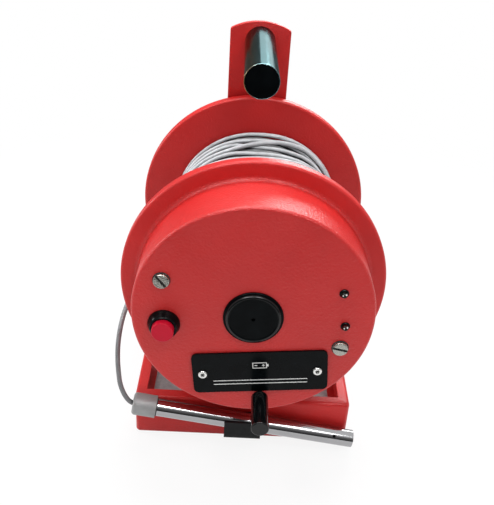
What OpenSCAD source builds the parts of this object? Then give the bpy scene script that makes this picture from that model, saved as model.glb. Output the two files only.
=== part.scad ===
/* Portable water level meter: a cable reel that turns on an open floor frame,
   with a round alarm housing on its front flange and a steel probe in a clip.
   Row frame: +X right, +Y back, +Z up. The origin is the middle of the base on the floor. */

/* [Base frame] */
// Outside width of the base
base_w = 192; // [170:1:230]
// Outside depth of the base
base_d = 182; // [176:1:220]
// Height of the folded channel
base_h = 43.5; // [38:0.5:44]
// Width of the channel's top and bottom lips
base_lip = 10; // [8:0.5:16]
// Sheet thickness of the channel
base_sheet = 2.5; // [1.5:0.1:3.5]
// Outer radius of the folds
base_fold_r = 3.2; // [2.5:0.1:4]
// Radius of the upright corner edges
base_corner_r = 4; // [2:0.5:5]

/* [Upright] */
// Width of the back upright
upright_w = 56; // [48:1:80]
// Thickness of the upright's plate
upright_t = 5; // [4:0.5:8]
// Height of the arched top above the reel's axis
upright_rise = 177; // [165:1:205]
// Radius of the arched top
upright_arc_r = 56; // [46:1:90]
// Radius of the top's two corners
upright_corner_r = 2.5; // [1:0.5:5]
// Gap between the upright's foot and the floor
upright_foot_gap = 4; // [3:0.5:7]
// Shank diameter of the upright's fixing screws
upright_screw_d = 6; // [5:0.5:8]
// Distance between the fixing screws, across
upright_screw_x = 36; // [28:1:38]
// Distance between the fixing screws, up
upright_screw_z = 20; // [16:1:22]

/* [Handle] */
// Outside diameter of the handle tube
handle_d = 28.2; // [24:0.2:32]
// Wall of the handle tube
handle_wall = 1.5; // [1:0.1:2.5]
// Reach of the handle in front of the upright, with its end plug
handle_len = 126; // [110:1:150]
// Height of the handle's axis below the arched top
handle_drop = 18.5; // [17:0.5:24]
// Thickness of the end plug's head
handle_plug_t = 2.6; // [2.6:0.1:4]
// Length of the steel insert in the tube's rear end
handle_insert_len = 22; // [18:1:32]
// Shank diameter of the handle bolt
handle_bolt_d = 8; // [6:1:10]

/* [Reel] */
// Sideways place of the reel's axis, from the base's middle
reel_x = 2.6; // [0:0.2:4]
// Gap between the base frame and the flanges above it
reel_lift = 2.5; // [1.5:0.5:12]
// Diameter of the two flanges
flange_d = 220; // [206:1:226]
// Sheet thickness of the flanges
flange_t = 2; // [1.5:0.1:2.5]
// Depth of the turned rim of each flange
rim_depth = 8.7; // [6:0.1:10]
// Outer radius of the rim's fold
rim_fold_r = 2.6; // [2.5:0.1:3.5]
// Length of the drum between the flanges
drum_len = 152; // [140:1:154]
// Outside diameter of the drum
drum_d = 130; // [120:1:134]
// Wall of the drum
drum_wall = 2; // [1.5:0.1:3]
// Angle that the reel is turned at rest
reel_turn = 5.5; // [0:0.5:8]
// Gap between the rear flange's rim and the upright
reel_rear_gap = 4.3; // [3:0.1:8]

/* [Axle and bearings] */
// Diameter of the axle's journal
axle_d = 16; // [14:0.5:17]
// Diameter of the axle's front thread
axle_front_d = 12; // [10:0.5:13]
// Diameter of the axle's collar
axle_collar_d = 26; // [24:0.5:30]
// Wall of the bearing bushes
bush_wall = 2; // [1.5:0.1:3]
// Length of the bearing bushes, without their heads
bush_len = 22; // [18:1:26]
// Thickness of the bush heads
bush_head_t = 2; // [1.5:0.1:2.5]
// Radial running clearance of shafts in their bores
run_gap = 0.05; // [0.02:0.01:0.08]
// Axial play of the reel
axial_play = 0.2; // [0.1:0.05:0.4]
// Diameter of the hub barrels
hub_d = 32; // [30:0.5:38]
// Thickness of the hub plates that centre the drum
hub_t = 4; // [3:0.5:5]
// Radius of the circle of tie bolts
tie_r = 48; // [40:1:50]
// Diameter of the tie bolts
tie_d = 5; // [4:0.5:6]

/* [Housing] */
// Outside diameter of the alarm housing
housing_d = 189.4; // [186:0.2:196]
// Depth of the housing in front of the flange
housing_depth = 46.5; // [44:0.5:54]
// Sheet thickness of the housing
housing_t = 2; // [1.5:0.1:2.5]
// Radius of the housing's face edge
housing_edge_r = 2.8; // [2.6:0.1:4]
// Distance of the left housing screw from the reel's axis
screw_left_r = 76.9; // [74:0.1:78]
// Angle of the left housing screw
screw_left_angle = 151.3; // [149:0.1:153]
// Distance of the right housing screw from the reel's axis
screw_right_r = 74.4; // [74:0.1:78]
// Angle of the right housing screw, below the level
screw_right_angle = 24.9; // [23:0.1:27]
// Diameter of the housing screw heads
screw_head_d = 12.4; // [10:0.2:13]

/* [Face parts] */
// Diameter of the buzzer's rim
buzzer_d = 47; // [46:0.2:50]
// Height of the buzzer in front of the face
buzzer_proud = 3.5; // [3:0.1:6]
// Diameter of the buzzer's body behind the face
buzzer_body_d = 41; // [38:0.5:42]
// Distance of the push button from the reel's axis
button_r = 69.6; // [68:0.1:72]
// Diameter of the button collar's foot
button_collar_d = 25.4; // [24:0.2:28]
// Height of the button collar
button_collar_h = 7.5; // [6:0.1:9]
// Diameter of the red push button
button_d = 17.2; // [15:0.2:17.6]
// Height of the push button in front of its collar
button_proud = 5.4; // [4:0.1:7]
// Travel of the push button
button_travel = 3; // [2:0.1:3.4]
// Distance of the upper lamp from the reel's middle plane
lamp_upper_x = 69.4; // [69:0.1:73]
// Height of the upper lamp
lamp_upper_z = 19.7; // [15:0.1:22]
// Distance of the lower lamp from the reel's middle plane
lamp_lower_x = 71; // [69:0.1:73]
// Height of the lower lamp
lamp_lower_z = -10.6; // [-12:0.1:-8]
// Diameter of the lamp holders
lamp_holder_d = 7.4; // [7:0.1:9]
// Diameter of the lamps
lamp_d = 5; // [4:0.1:5.5]

/* [Battery cover] */
// Width of the battery cover
cover_w = 109; // [98:0.5:111]
// Height of the battery cover
cover_h = 39.2; // [36:0.2:40]
// Thickness of the battery cover
cover_t = 1.8; // [1.5:0.1:2.5]
// Corner radius of the battery cover
cover_corner_r = 4.6; // [3:0.1:6]
// Sideways place of the battery cover
cover_x = 3.4; // [0:0.1:4]
// Height of the cover's middle, from the reel's axis
cover_z = -52.6; // [-53:0.1:-51]
// Distance of the cover screws from the cover's ends
cover_screw_inset = 8.25; // [7:0.25:9.5]
// Diameter of the cover screw heads
cover_screw_head_d = 7.3; // [6.5:0.1:7.6]

/* [Crank] */
// Distance of the crank knob from the reel's axis
knob_r = 75.5; // [75.4:0.1:79]
// Diameter of the knob
knob_d = 14; // [12:0.1:16]
// Length of the knob
knob_len = 38; // [34:0.5:46]
// Gap between the knob and the housing's face
knob_gap = 4.6; // [4:0.1:6]
// Diameter of the knob's pin
pin_d = 5; // [4:0.1:5]

/* [Probe] */
// Diameter of the steel probe
probe_d = 15.5; // [14:0.1:15.6]
// Wall of the steel probe
probe_wall = 1.2; // [0.9:0.1:1.6]
// Length of the probe with its cable cap
probe_len = 198; // [180:1:220]
// Diameter of the cable cap
probe_cap_d = 19.4; // [18:0.1:19.4]
// Length of the cable cap outside the tube
probe_cap_len = 20.6; // [16:0.1:26]
// Tilt of the probe, cable end up
probe_tilt = 8.85; // [8.5:0.05:9.5]
// Distance of the water port from the probe's tip
probe_port_x = 17.7; // [14:0.1:20]

/* [Probe clip] */
// Width of the probe clip
clip_w = 32; // [26:1:33]
// Thickness of the clip's strip
clip_t = 2; // [1.8:0.1:2]
// Height of the clip's front arm
clip_arm_h = 20; // [14:0.5:22]
// Height of the clip's underside above the floor
clip_z = 15; // [14.6:0.1:15.6]
// Sideways place of the clip
clip_x = 0.6; // [-1.4:0.5:2.6]

/* [Cable] */
// Diameter of the cable
cable_d = 4.2; // [3.6:0.1:4.4]

/* [Hidden] */
SIDES = ["left", "right"];
LEVELS = ["upper", "lower"];
PAIR = [-1, 1];
$fn = 96;
over = 1;
seat = 0.05;

// Places along Y, from the upright forwards
base_front = -base_d / 2;
upright_y = base_d / 2;
upright_back = upright_y + upright_t;
rim_back = upright_y - reel_rear_gap;
rear_face = rim_back - rim_depth;
front_inner = rear_face - drum_len;
front_face = front_inner - flange_t;
face_y = front_face - housing_depth;
face_back = face_y + housing_t;
handle_front = upright_y - handle_len;

// Heights
flange_r = flange_d / 2;
axle_z = base_h + reel_lift + flange_r;
upright_top = axle_z + upright_rise;
handle_z = upright_top - handle_drop;
drum_r = drum_d / 2;
housing_r = housing_d / 2;

// Bearings
bush_od = axle_d + 2 * (run_gap + bush_wall);
bush_bore = axle_d + 2 * run_gap;
bush_head_d = axle_collar_d;
hub_proud = 2;
rear_hub_end = rear_face + flange_t + hub_proud + 2;
front_hub_end = front_face - hub_proud;
collar_front = rear_hub_end + bush_head_t + axial_play;
journal_front = front_hub_end - bush_head_t - axial_play;
hub_barrel = 14;
washer_t = 2.2;
rear_nut_af = 24;
rear_nut_t = 13;
front_nut_af = 19;
front_nut_t = 10;
thread_end = 2;

// Small hardware
upright_screw_af = upright_screw_d + 4;
upright_head_t = upright_screw_d * 2 / 3;
upright_nut_t = upright_screw_d * 5 / 6;
upright_hole = upright_screw_d + 0.4;
handle_plug_len = handle_d / 2;
handle_plug_wall = 2;
handle_washer_d = 2 * handle_bolt_d + 2;
handle_washer_t = 1.6;
handle_bolt_af = handle_bolt_d + 5;
handle_head_t = handle_bolt_d * 2 / 3;
rear_washer_d = 2 * axle_d - 2;
tie_hole = tie_d + 0.3;
tie_head_t = 3.5;
tie_nut_t = 4;
tie_af = 8;
post_d = 12;
post_screw_d = 6;
post_rivet_d = 6;
post_rivet_head_d = 9;
post_rivet_head_t = 0.8;
screw_head_t = 2.4;
screw_len = 16;
slot_w = 2;
slot_depth = 1.5;
slot_angles = [124, -17];
screw_radii = [screw_left_r, screw_right_r];
screw_angles = [screw_left_angle, -screw_right_angle];
screw_seal_d = screw_head_d + 1.2;
screw_seal_t = 0.8;
grommet_hole_d = 9;
grommet_lip_d = 13;
grommet_lip_t = 1.5;
drum_grommet_y = rear_face - 12;
housing_grommet_r = 36;

// Face parts, in the reel's own frame
button_angle = 182.3;
button_body_d = 20;
button_body_len = 20;
button_bore = button_d + 0.6;
button_stem_d = 8;
button_cap_len = button_proud + button_travel + 2;
button_nut_t = 3;
button_nut_d = 25;
buzzer_len = 13;
buzzer_wall = 1.6;
buzzer_port_d = 3;
buzzer_nut_t = 3.2;
buzzer_nut_d = buzzer_body_d + 7;
lamp_places = [[lamp_upper_x, lamp_upper_z], [lamp_lower_x, lamp_lower_z]];
lamp_body_d = 6.2;
lamp_holder_t = 1.2;
lamp_proud = 1;
lamp_dome = lamp_d / 2;
lamp_len = 8;

// Battery compartment
tray_w = cover_w - 25;
tray_h = 30;
tray_wall = 1.6;
tray_depth = 24;
tray_lug_w = 8;
tray_lug_t = 5;
cover_screw_x = cover_w - 2 * cover_screw_inset;
cover_screw_d = 3.5;
cover_screw_len = 9;
cover_screw_head_t = 1.8;
battery_size = [48.5, 17.5, 26.5];
battery_terminal = [2.6, 6];
board_size = [cover_w - 25, 1.6, cover_h - 1.2];
board_z = 50;
board_gap = 9;
board_hole = 3.2;
board_inset = 5;

// Crank
knob_x = 2.3;
knob_front = face_y - knob_gap - knob_len;
knob_rear = face_y - knob_gap;
knob_rear_r = 2.6;
knob_cap_t = 2;
knob_counter_d = 9.6;
knob_counter_len = 7;
pin_head_d = 8.6;
pin_head_t = 2.6;
pin_boss_d = 10;
pin_boss_len = 9;

// Probe and clip
probe_y = base_front - clip_t - 0.25 - probe_d / 2;
probe_x0 = -96.2;
probe_z0 = 43.6;
probe_cap_chamfer = 3.6;
probe_cap_nose_d = 13;
probe_spigot_len = 16;
probe_tip_wall = 3;
probe_mouth_d = 8;
probe_port_d = 2.8;
probe_port_angle = 40;
probe_chamber = 26;
insulator_len = 20;
electrode_d = 3;
electrode_recess = 8;
clip_gap = probe_d + 0.5;
clip_bend_r = 4.5;
clip_back_h = 15;
clip_screw_d = 4;
clip_screw_head_d = 7.6;
clip_screw_x = 18;
clip_screw_z = clip_z + 9.6;
clip_screw_len = 6;

// Cable
cable_r = cable_d / 2;
wind_side_gap = 0.3;
wind_inner = drum_r + 0.3;
tail_sides = 8;
tail_steps = 2;
tail_route = [[-68.9, -17, 193.5], [-76.4, -20, 180], [-83.4, -24, 166], [-89.9, -30, 152],
    [-95.9, -38, 139.5], [-101.4, -48, 128], [-105.4, -60, 118.5], [-107.9, -70, 111],
    [-109.4, -79, 102], [-109.9, -86, 92.5], [-109.4, -92, 83], [-108.4, -96, 73.5],
    [-106.9, -99, 63.5], [-103.9, -100.5, 54], [-99.9, -101, 46.8], [-96.25, -101, 43.7]];

// Helpers: bodies along Y, and flat outlines drawn as seen from the front
module bar_y(d, y0, y1) {
    translate([0, min(y0, y1), 0]) rotate([-90, 0, 0]) cylinder(d = d, h = abs(y1 - y0));
}

module ring_y(outer, inner, y0, y1) {
    difference() {
        bar_y(outer, y0, y1);
        bar_y(inner, min(y0, y1) - over, max(y0, y1) + over);
    }
}

module revolve_y() {
    rotate([-90, 0, 0]) rotate_extrude($fn = 180) children();
}

module plate_y(y0, y1) {
    translate([0, max(y0, y1), 0]) rotate([90, 0, 0]) linear_extrude(abs(y1 - y0)) children();
}

module hex_y(af, y0, y1) {
    translate([0, min(y0, y1), 0]) rotate([-90, 0, 0])
        cylinder(d = af / cos(30), h = abs(y1 - y0), $fn = 6);
}

module round_rect(w, h, r) {
    square([w - 2 * r, h], center = true);
    square([w, h - 2 * r], center = true);
    for (x = [-1, 1], z = [-1, 1])
        translate([x * (w / 2 - r), z * (h / 2 - r)]) circle(r = r);
}

module at_axle() {
    translate([reel_x, 0, axle_z]) children();
}

module on_reel() {
    at_axle() rotate([0, -reel_turn, 0]) children();
}

module at_polar(r, angle) {
    translate([r * cos(angle), 0, r * sin(angle)]) children();
}

module at_screw(i) {
    at_polar(screw_radii[i], screw_angles[i]) rotate([0, -slot_angles[i], 0]) children();
}

module at_screws() {
    for (i = [0, 1]) at_screw(i) children();
}

module at_cover_screw(i) {
    translate([cover_x + PAIR[i] * cover_screw_x / 2, 0, cover_z]) children();
}

module at_cover_screws() {
    for (i = [0, 1]) at_cover_screw(i) children();
}

module at_lamp(i) {
    translate([lamp_places[i][0], 0, lamp_places[i][1]]) children();
}

module at_clip_screw(i) {
    translate([clip_x + PAIR[i] * clip_screw_x / 2, base_front, clip_screw_z]) children();
}

module at_upright_screws() {
    for (x = [-1, 1], z = [-1, 1])
        translate([x * upright_screw_x / 2, 0, base_h / 2 + z * upright_screw_z / 2]) children();
}

module at_cable_hole() {
    at_polar(housing_grommet_r, 210) children();
}

module at_tie_bolts() {
    for (i = [0 : 2]) at_polar(tie_r, 90 + 120 * i) children();
}

// Base frame: four mitred lengths of folded channel
module channel_section() {
    difference() {
        union() {
            translate([base_fold_r, 0]) square([base_lip - base_fold_r, base_h]);
            translate([0, base_fold_r]) square([base_lip, base_h - 2 * base_fold_r]);
            for (z = [base_fold_r, base_h - base_fold_r]) translate([base_fold_r, z]) circle(r = base_fold_r);
        }
        translate([base_sheet, base_sheet]) square([base_lip, base_h - 2 * base_sheet]);
    }
}

module channel_side(length, reach) {
    intersection() {
        translate([0, length / 2, 0]) rotate([90, 0, 0]) linear_extrude(length) channel_section();
        translate([0, 0, -over]) linear_extrude(base_h + 2 * over)
            polygon([[0, -length / 2], [0, length / 2], [reach, length / 2 - reach],
                [reach, reach - length / 2]]);
    }
}

module base_frame() {
    reach = base_lip + over;
    color("firebrick") difference() {
        intersection() {
            union() {
                for (side = [0, 180]) rotate([0, 0, side]) {
                    translate([-base_w / 2, 0, 0]) channel_side(base_d, reach);
                    rotate([0, 0, 90]) translate([-base_d / 2, 0, 0]) channel_side(base_w, reach);
                }
            }
            linear_extrude(base_h) round_rect(base_w, base_d, base_corner_r);
        }
        at_upright_screws() bar_y(upright_hole, base_d / 2 - base_sheet - over, base_d / 2 + over);
        for (i = [0, 1]) at_clip_screw(i) bar_y(clip_screw_d + 2 * seat, -over, base_sheet + over);
    }
}

// Upright: a flat plate with an arched top
module upright_outline() {
    half = upright_w / 2;
    arc_z = upright_top - upright_arc_r;
    corner_x = half - upright_corner_r;
    corner_z = arc_z + sqrt(pow(upright_arc_r - upright_corner_r, 2) - pow(corner_x, 2));
    reach = 2 * upright_corner_r / (upright_arc_r - upright_corner_r);
    difference() {
        intersection() {
            translate([-half, upright_foot_gap]) square([upright_w, upright_top - upright_foot_gap]);
            union() {
                translate([0, arc_z]) circle(r = upright_arc_r, $fn = 180);
                translate([-half, upright_foot_gap]) square([upright_w, arc_z - upright_foot_gap]);
            }
        }
        for (side = [-1, 1]) polygon([[side * corner_x, corner_z],
            [side * corner_x * (1 + reach), corner_z + (corner_z - arc_z) * reach],
            [side * (half + over), corner_z + 4 * upright_corner_r], [side * (half + over), corner_z]]);
    }
    for (side = [-1, 1]) translate([side * corner_x, corner_z]) circle(r = upright_corner_r);
}

module back_upright() {
    color("firebrick") difference() {
        plate_y(upright_y, upright_back) upright_outline();
        at_axle() bar_y(axle_d + 2 * seat, upright_y - over, upright_back + over);
        translate([0, 0, handle_z]) bar_y(handle_bolt_d + 2 * seat, upright_y - over, upright_back + over);
        at_upright_screws() bar_y(upright_hole, upright_y - over, upright_back + over);
    }
}

module upright_screws() {
    color("silver") at_upright_screws() {
        hex_y(upright_screw_af, upright_back, upright_back + upright_head_t);
        bar_y(upright_screw_d, upright_y - base_sheet - upright_nut_t - 1.5, upright_back);
    }
}

module upright_nuts() {
    nut_back = upright_y - base_sheet;
    color("silver") at_upright_screws() difference() {
        hex_y(upright_screw_af, nut_back - upright_nut_t, nut_back);
        bar_y(upright_screw_d + 2 * seat, nut_back - upright_nut_t - over, nut_back + over);
    }
}

// Handle: plated tube with a plug at the front and a threaded insert at the back
module handle_tube() {
    color("lightsteelblue") translate([0, 0, handle_z])
        ring_y(handle_d, handle_d - 2 * handle_wall, handle_front + handle_plug_t, upright_y);
}

module handle_end_plug() {
    head_r = handle_d / 2;
    edge = 1.3;
    inner_d = handle_d - 2 * handle_wall - 2 * seat;
    color([0.08, 0.08, 0.09]) translate([0, handle_front, handle_z]) difference() {
        union() {
            revolve_y() {
                translate([0, edge]) square([head_r, handle_plug_t - edge]);
                square([head_r - edge, handle_plug_t]);
                translate([head_r - edge, edge]) circle(r = edge);
            }
            bar_y(inner_d, handle_plug_t, handle_plug_t + handle_plug_len);
        }
        bar_y(inner_d - 2 * handle_plug_wall, handle_plug_t, handle_plug_t + handle_plug_len + over);
    }
}

module handle_insert() {
    outer = handle_d - 2 * handle_wall - 2 * seat;
    color("gray") translate([0, 0, handle_z])
        ring_y(outer, handle_bolt_d + 2 * seat, upright_y - handle_insert_len, upright_y);
}

module handle_bolt() {
    color("silver") translate([0, 0, handle_z]) {
        bar_y(handle_washer_d, upright_back, upright_back + handle_washer_t);
        hex_y(handle_bolt_af, upright_back + handle_washer_t, upright_back + handle_washer_t + handle_head_t);
        bar_y(handle_bolt_d, upright_y - handle_insert_len + 3, upright_back);
    }
}

// Axle: clamped in the upright by its collar and rear nut
module axle() {
    color("silver") at_axle() {
        bar_y(axle_front_d, journal_front - washer_t - front_nut_t - thread_end, journal_front);
        bar_y(axle_d, journal_front, upright_back + washer_t + rear_nut_t + thread_end);
        bar_y(axle_collar_d, collar_front, upright_y);
    }
}

module axle_rear_washer() {
    color("gainsboro") at_axle()
        ring_y(rear_washer_d, axle_d + 2 * seat, upright_back, upright_back + washer_t);
}

module axle_rear_nut() {
    color("silver") at_axle() difference() {
        hex_y(rear_nut_af, upright_back + washer_t, upright_back + washer_t + rear_nut_t);
        bar_y(axle_d + 2 * seat, upright_back, upright_back + washer_t + rear_nut_t + over);
    }
}

module axle_front_washer() {
    color("gainsboro") at_axle()
        ring_y(bush_head_d + 2, axle_front_d + 2 * seat, journal_front - washer_t, journal_front);
}

module axle_front_nut() {
    nut_back = journal_front - washer_t;
    color("silver") at_axle() difference() {
        hex_y(front_nut_af, nut_back - front_nut_t, nut_back);
        bar_y(axle_front_d + 2 * seat, nut_back - front_nut_t - over, nut_back + over);
    }
}

// Bearings and hubs turn with the reel
module bush(y_head, out) {
    color("darkgoldenrod") on_reel() difference() {
        union() {
            bar_y(bush_od, y_head, y_head - out * bush_len);
            bar_y(bush_head_d, y_head, y_head + out * bush_head_t);
        }
        bar_y(bush_bore, y_head - out * (bush_len + over), y_head + out * (bush_head_t + over));
    }
}

module rear_bush() {
    bush(rear_hub_end, 1);
}

module front_bush() {
    bush(front_hub_end, -1);
}

module hub(y_plate, y_end, out) {
    color("lightgray") on_reel() difference() {
        union() {
            bar_y(2 * (drum_r - drum_wall - seat), y_plate, y_plate - out * hub_t);
            bar_y(hub_d, y_end, y_plate - out * hub_barrel);
        }
        bar_y(bush_od + 2 * seat, y_end + out * over, y_plate - out * (hub_barrel + over));
        at_tie_bolts() bar_y(tie_hole, y_plate + out * over, y_plate - out * (hub_t + over));
        if (out < 0) at_cable_hole() bar_y(grommet_hole_d, y_plate - over, y_plate + hub_t + over);
    }
}

module rear_hub() {
    hub(rear_face, rear_hub_end, 1);
}

module front_hub() {
    hub(front_inner, front_hub_end, -1);
}

// Flanges: spun discs whose rims are turned back
module flange_section() {
    union() {
        square([flange_r - rim_fold_r, flange_t]);
        difference() {
            union() {
                translate([flange_r - rim_fold_r, rim_fold_r]) circle(r = rim_fold_r);
                translate([flange_r - flange_t, rim_fold_r]) square([flange_t, rim_depth - rim_fold_r]);
            }
            translate([flange_r - rim_fold_r, rim_fold_r]) circle(r = rim_fold_r - flange_t);
            translate([flange_r - 3 * rim_fold_r, flange_t]) square([3 * rim_fold_r - flange_t, rim_depth]);
        }
    }
}

module rear_flange() {
    color("firebrick") on_reel() difference() {
        translate([0, rear_face, 0]) revolve_y() flange_section();
        bar_y(hub_d + 2 * seat, rear_face - over, rear_face + flange_t + over);
        at_tie_bolts() bar_y(tie_hole, rear_face - over, rear_face + flange_t + over);
    }
}

module front_flange() {
    color("firebrick") on_reel() difference() {
        translate([0, front_face, 0]) revolve_y() flange_section();
        bar_y(hub_d + 2 * seat, front_face - over, front_inner + over);
        at_tie_bolts() bar_y(tie_hole, front_face - over, front_inner + over);
        at_screws() bar_y(post_rivet_d + 2 * seat, front_face - over, front_inner + over);
        at_cable_hole() bar_y(grommet_hole_d, front_face - over, front_inner + over);
    }
}

module drum_core() {
    color("firebrick") on_reel() difference() {
        ring_y(drum_d, drum_d - 2 * drum_wall, front_inner, rear_face);
        translate([0, drum_grommet_y, 0]) cylinder(d = grommet_hole_d, h = drum_d);
    }
}

// Rubber grommets where the cable enters the drum and the housing
module drum_grommet() {
    inner = drum_r - drum_wall;
    color([0.1, 0.1, 0.1]) on_reel() translate([0, drum_grommet_y, 0]) difference() {
        union() {
            translate([0, 0, inner - 4]) cylinder(d = grommet_hole_d - 2 * seat, h = drum_wall + 3.6);
            translate([0, 0, inner - 2.2]) cylinder(d = grommet_lip_d, h = grommet_lip_t);
        }
        translate([0, 0, inner - 5]) cylinder(d = cable_d + 2 * seat, h = 12);
    }
}

module housing_grommet() {
    color([0.1, 0.1, 0.1]) on_reel() at_cable_hole() difference() {
        union() {
            bar_y(grommet_hole_d - 2 * seat, front_face - 1, front_inner + hub_t);
            bar_y(grommet_lip_d, front_face - grommet_lip_t, front_face);
        }
        bar_y(cable_d + 2 * seat, front_face - 3, front_inner + hub_t + over);
    }
}

// Three tie bolts draw flanges, hubs and drum together
module tie_bolts() {
    bolt_back = rear_face + flange_t;
    color("silver") on_reel() at_tie_bolts() {
        hex_y(tie_af, bolt_back, bolt_back + tie_head_t);
        bar_y(tie_d, front_face - tie_nut_t - 1.5, bolt_back);
    }
}

module tie_nuts() {
    color("silver") on_reel() at_tie_bolts() difference() {
        hex_y(tie_af, front_face - tie_nut_t, front_face);
        bar_y(tie_d + 2 * seat, front_face - tie_nut_t - over, front_face + over);
    }
}

// Alarm housing: a deep spun cap with a rounded face edge
module housing_section() {
    difference() {
        union() {
            square([housing_r - housing_edge_r, housing_depth]);
            translate([0, housing_edge_r]) square([housing_r, housing_depth - housing_edge_r]);
            translate([housing_r - housing_edge_r, housing_edge_r]) circle(r = housing_edge_r);
        }
        translate([0, housing_t]) square([housing_r - housing_edge_r, housing_depth]);
        translate([0, housing_edge_r]) square([housing_r - housing_t, housing_depth]);
        translate([housing_r - housing_edge_r, housing_edge_r]) circle(r = housing_edge_r - housing_t);
    }
}

module housing_shell() {
    color("firebrick") on_reel() difference() {
        translate([0, face_y, 0]) revolve_y() housing_section();
        at_screws() bar_y(post_screw_d + 0.4, face_y - over, face_back + over);
        bar_y(buzzer_body_d + 2 * seat, face_y - over, face_back + over);
        at_polar(button_r, button_angle) bar_y(button_body_d + 2 * seat, face_y - over, face_back + over);
        for (i = [0, 1]) at_lamp(i) bar_y(lamp_body_d + 2 * seat, face_y - over, face_back + over);
        translate([cover_x, 0, cover_z]) plate_y(face_y - over, face_back + over)
            square([tray_w + 2 * seat, tray_h + 2 * seat], center = true);
        at_cover_screws() bar_y(cover_screw_d + 0.3, face_y - over, face_back + over);
        translate([knob_x, 0, -knob_r]) bar_y(pin_d + 2 * seat, face_y - over, face_back + over);
    }
}

module housing_posts() {
    color("silver") on_reel() at_screws() difference() {
        union() {
            bar_y(post_d, face_back, front_face);
            bar_y(post_rivet_d, front_face, front_inner + post_rivet_head_t);
            bar_y(post_rivet_head_d, front_inner, front_inner + post_rivet_head_t);
        }
        bar_y(post_screw_d + 2 * seat, face_back - over, face_back + screw_len + 4);
    }
}

module housing_seals() {
    color([0.06, 0.06, 0.06]) on_reel() at_screws()
        ring_y(screw_seal_d, post_screw_d + 2 * seat, face_y - screw_seal_t, face_y);
}

module housing_screw(i) {
    edge = 0.9;
    head_r = screw_head_d / 2;
    front = face_y - screw_seal_t - screw_head_t;
    color("gainsboro") on_reel() at_screw(i) difference() {
        union() {
            translate([0, front, 0]) revolve_y() {
                square([head_r - edge, screw_head_t]);
                translate([0, edge]) square([head_r, screw_head_t - edge]);
                translate([head_r - edge, edge]) circle(r = edge);
            }
            bar_y(post_screw_d, front + screw_head_t, face_back + screw_len);
        }
        translate([-screw_head_d, front - over, -slot_w / 2])
            cube([2 * screw_head_d, slot_depth + over, slot_w]);
    }
}

// Push button: a sloping collar around the red cap
module button_collar() {
    foot = 1.6;
    rim = button_bore / 2 + 0.9;
    color([0.07, 0.07, 0.08]) on_reel() at_polar(button_r, button_angle) difference() {
        union() {
            translate([0, face_y, 0]) revolve_y() {
                polygon([[0, 0], [button_collar_d / 2, 0], [button_collar_d / 2, -foot],
                    [rim + 0.9, 0.9 - button_collar_h], [rim, -button_collar_h], [0, -button_collar_h]]);
            }
            bar_y(button_body_d, face_y, face_back + button_body_len);
        }
        bar_y(button_bore, face_y - button_collar_h - over, face_y + button_travel + 3);
        bar_y(button_stem_d + 0.8, face_y, face_back + button_body_len - 4);
    }
}

module button_cap() {
    front = face_y - button_collar_h - button_proud;
    edge = 1;
    r = button_d / 2;
    color([0.78, 0.05, 0.12]) on_reel() at_polar(button_r, button_angle) {
        translate([0, front, 0]) revolve_y() {
            square([r - edge, button_cap_len]);
            translate([0, edge]) square([r, button_cap_len - edge]);
            translate([r - edge, edge]) circle(r = edge);
        }
        bar_y(button_stem_d, front + button_cap_len, face_back + button_body_len - 4 - button_travel - 1);
    }
}

module button_nut() {
    color("dimgray") on_reel() at_polar(button_r, button_angle)
        ring_y(button_nut_d, button_body_d + 2 * seat, face_back, face_back + button_nut_t);
}

// Buzzer: a rimmed cup with one sound port, its sounder disc and its ring nut
module buzzer_case() {
    edge = 1;
    r = buzzer_d / 2;
    dish = 0.7;
    body_r = buzzer_body_d / 2;
    color([0.07, 0.08, 0.08]) on_reel() difference() {
        translate([0, face_y - buzzer_proud, 0]) revolve_y() difference() {
            union() {
                square([r - edge, buzzer_proud]);
                translate([0, edge]) square([r, buzzer_proud - edge]);
                translate([r - edge, edge]) intersection() {
                    circle(r = edge);
                    translate([0, -edge]) square(edge);
                }
                square([body_r, buzzer_proud + buzzer_len]);
            }
            polygon([[0, -over], [r - edge - 1.6, -over], [r - edge - 2.6, dish], [0, dish]]);
            translate([0, buzzer_proud]) square([body_r - buzzer_wall, buzzer_len + over]);
        }
        bar_y(buzzer_port_d, face_y - buzzer_proud - over, face_y + over);
    }
}

module buzzer_element() {
    color("goldenrod") on_reel() bar_y(buzzer_body_d - 2 * buzzer_wall - 2 * seat, face_y + 4, face_y + 5.2);
}

module buzzer_nut() {
    color("dimgray") on_reel()
        ring_y(buzzer_nut_d, buzzer_body_d + 2 * seat, face_back, face_back + buzzer_nut_t);
}

// Signal lamps in their holders
module lamp_holder(i) {
    color([0.06, 0.06, 0.07]) on_reel() at_lamp(i) difference() {
        union() {
            translate([0, face_y, 0]) revolve_y()
                polygon([[0, 0], [lamp_holder_d / 2, 0], [lamp_holder_d / 2, -0.6],
                    [lamp_holder_d / 2 - 0.6, -lamp_holder_t], [0, -lamp_holder_t]]);
            bar_y(lamp_body_d, face_y, face_back + 4);
        }
        bar_y(lamp_d + 2 * seat, face_y - lamp_holder_t - over, face_back + 4 + over);
    }
}

module lamp(i) {
    on_reel() at_lamp(i) translate([0, face_y - lamp_holder_t - lamp_proud, 0]) {
        revolve_y() intersection() {
            circle(r = lamp_dome);
            translate([0, -lamp_dome]) square([lamp_dome, lamp_dome]);
        }
        bar_y(lamp_d, 0, lamp_len);
    }
}

module lamp_green() {
    color([0.04, 0.22, 0.1]) lamp(0);
}

module lamp_red() {
    color([0.4, 0.03, 0.04]) lamp(1);
}

// Battery compartment behind the black cover
module battery_cover() {
    color([0.06, 0.07, 0.08]) on_reel() difference() {
        translate([cover_x, 0, cover_z]) plate_y(face_y - cover_t, face_y)
            round_rect(cover_w, cover_h, cover_corner_r);
        at_cover_screws() bar_y(cover_screw_d + 0.3, face_y - cover_t - over, face_y + over);
    }
}

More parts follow.
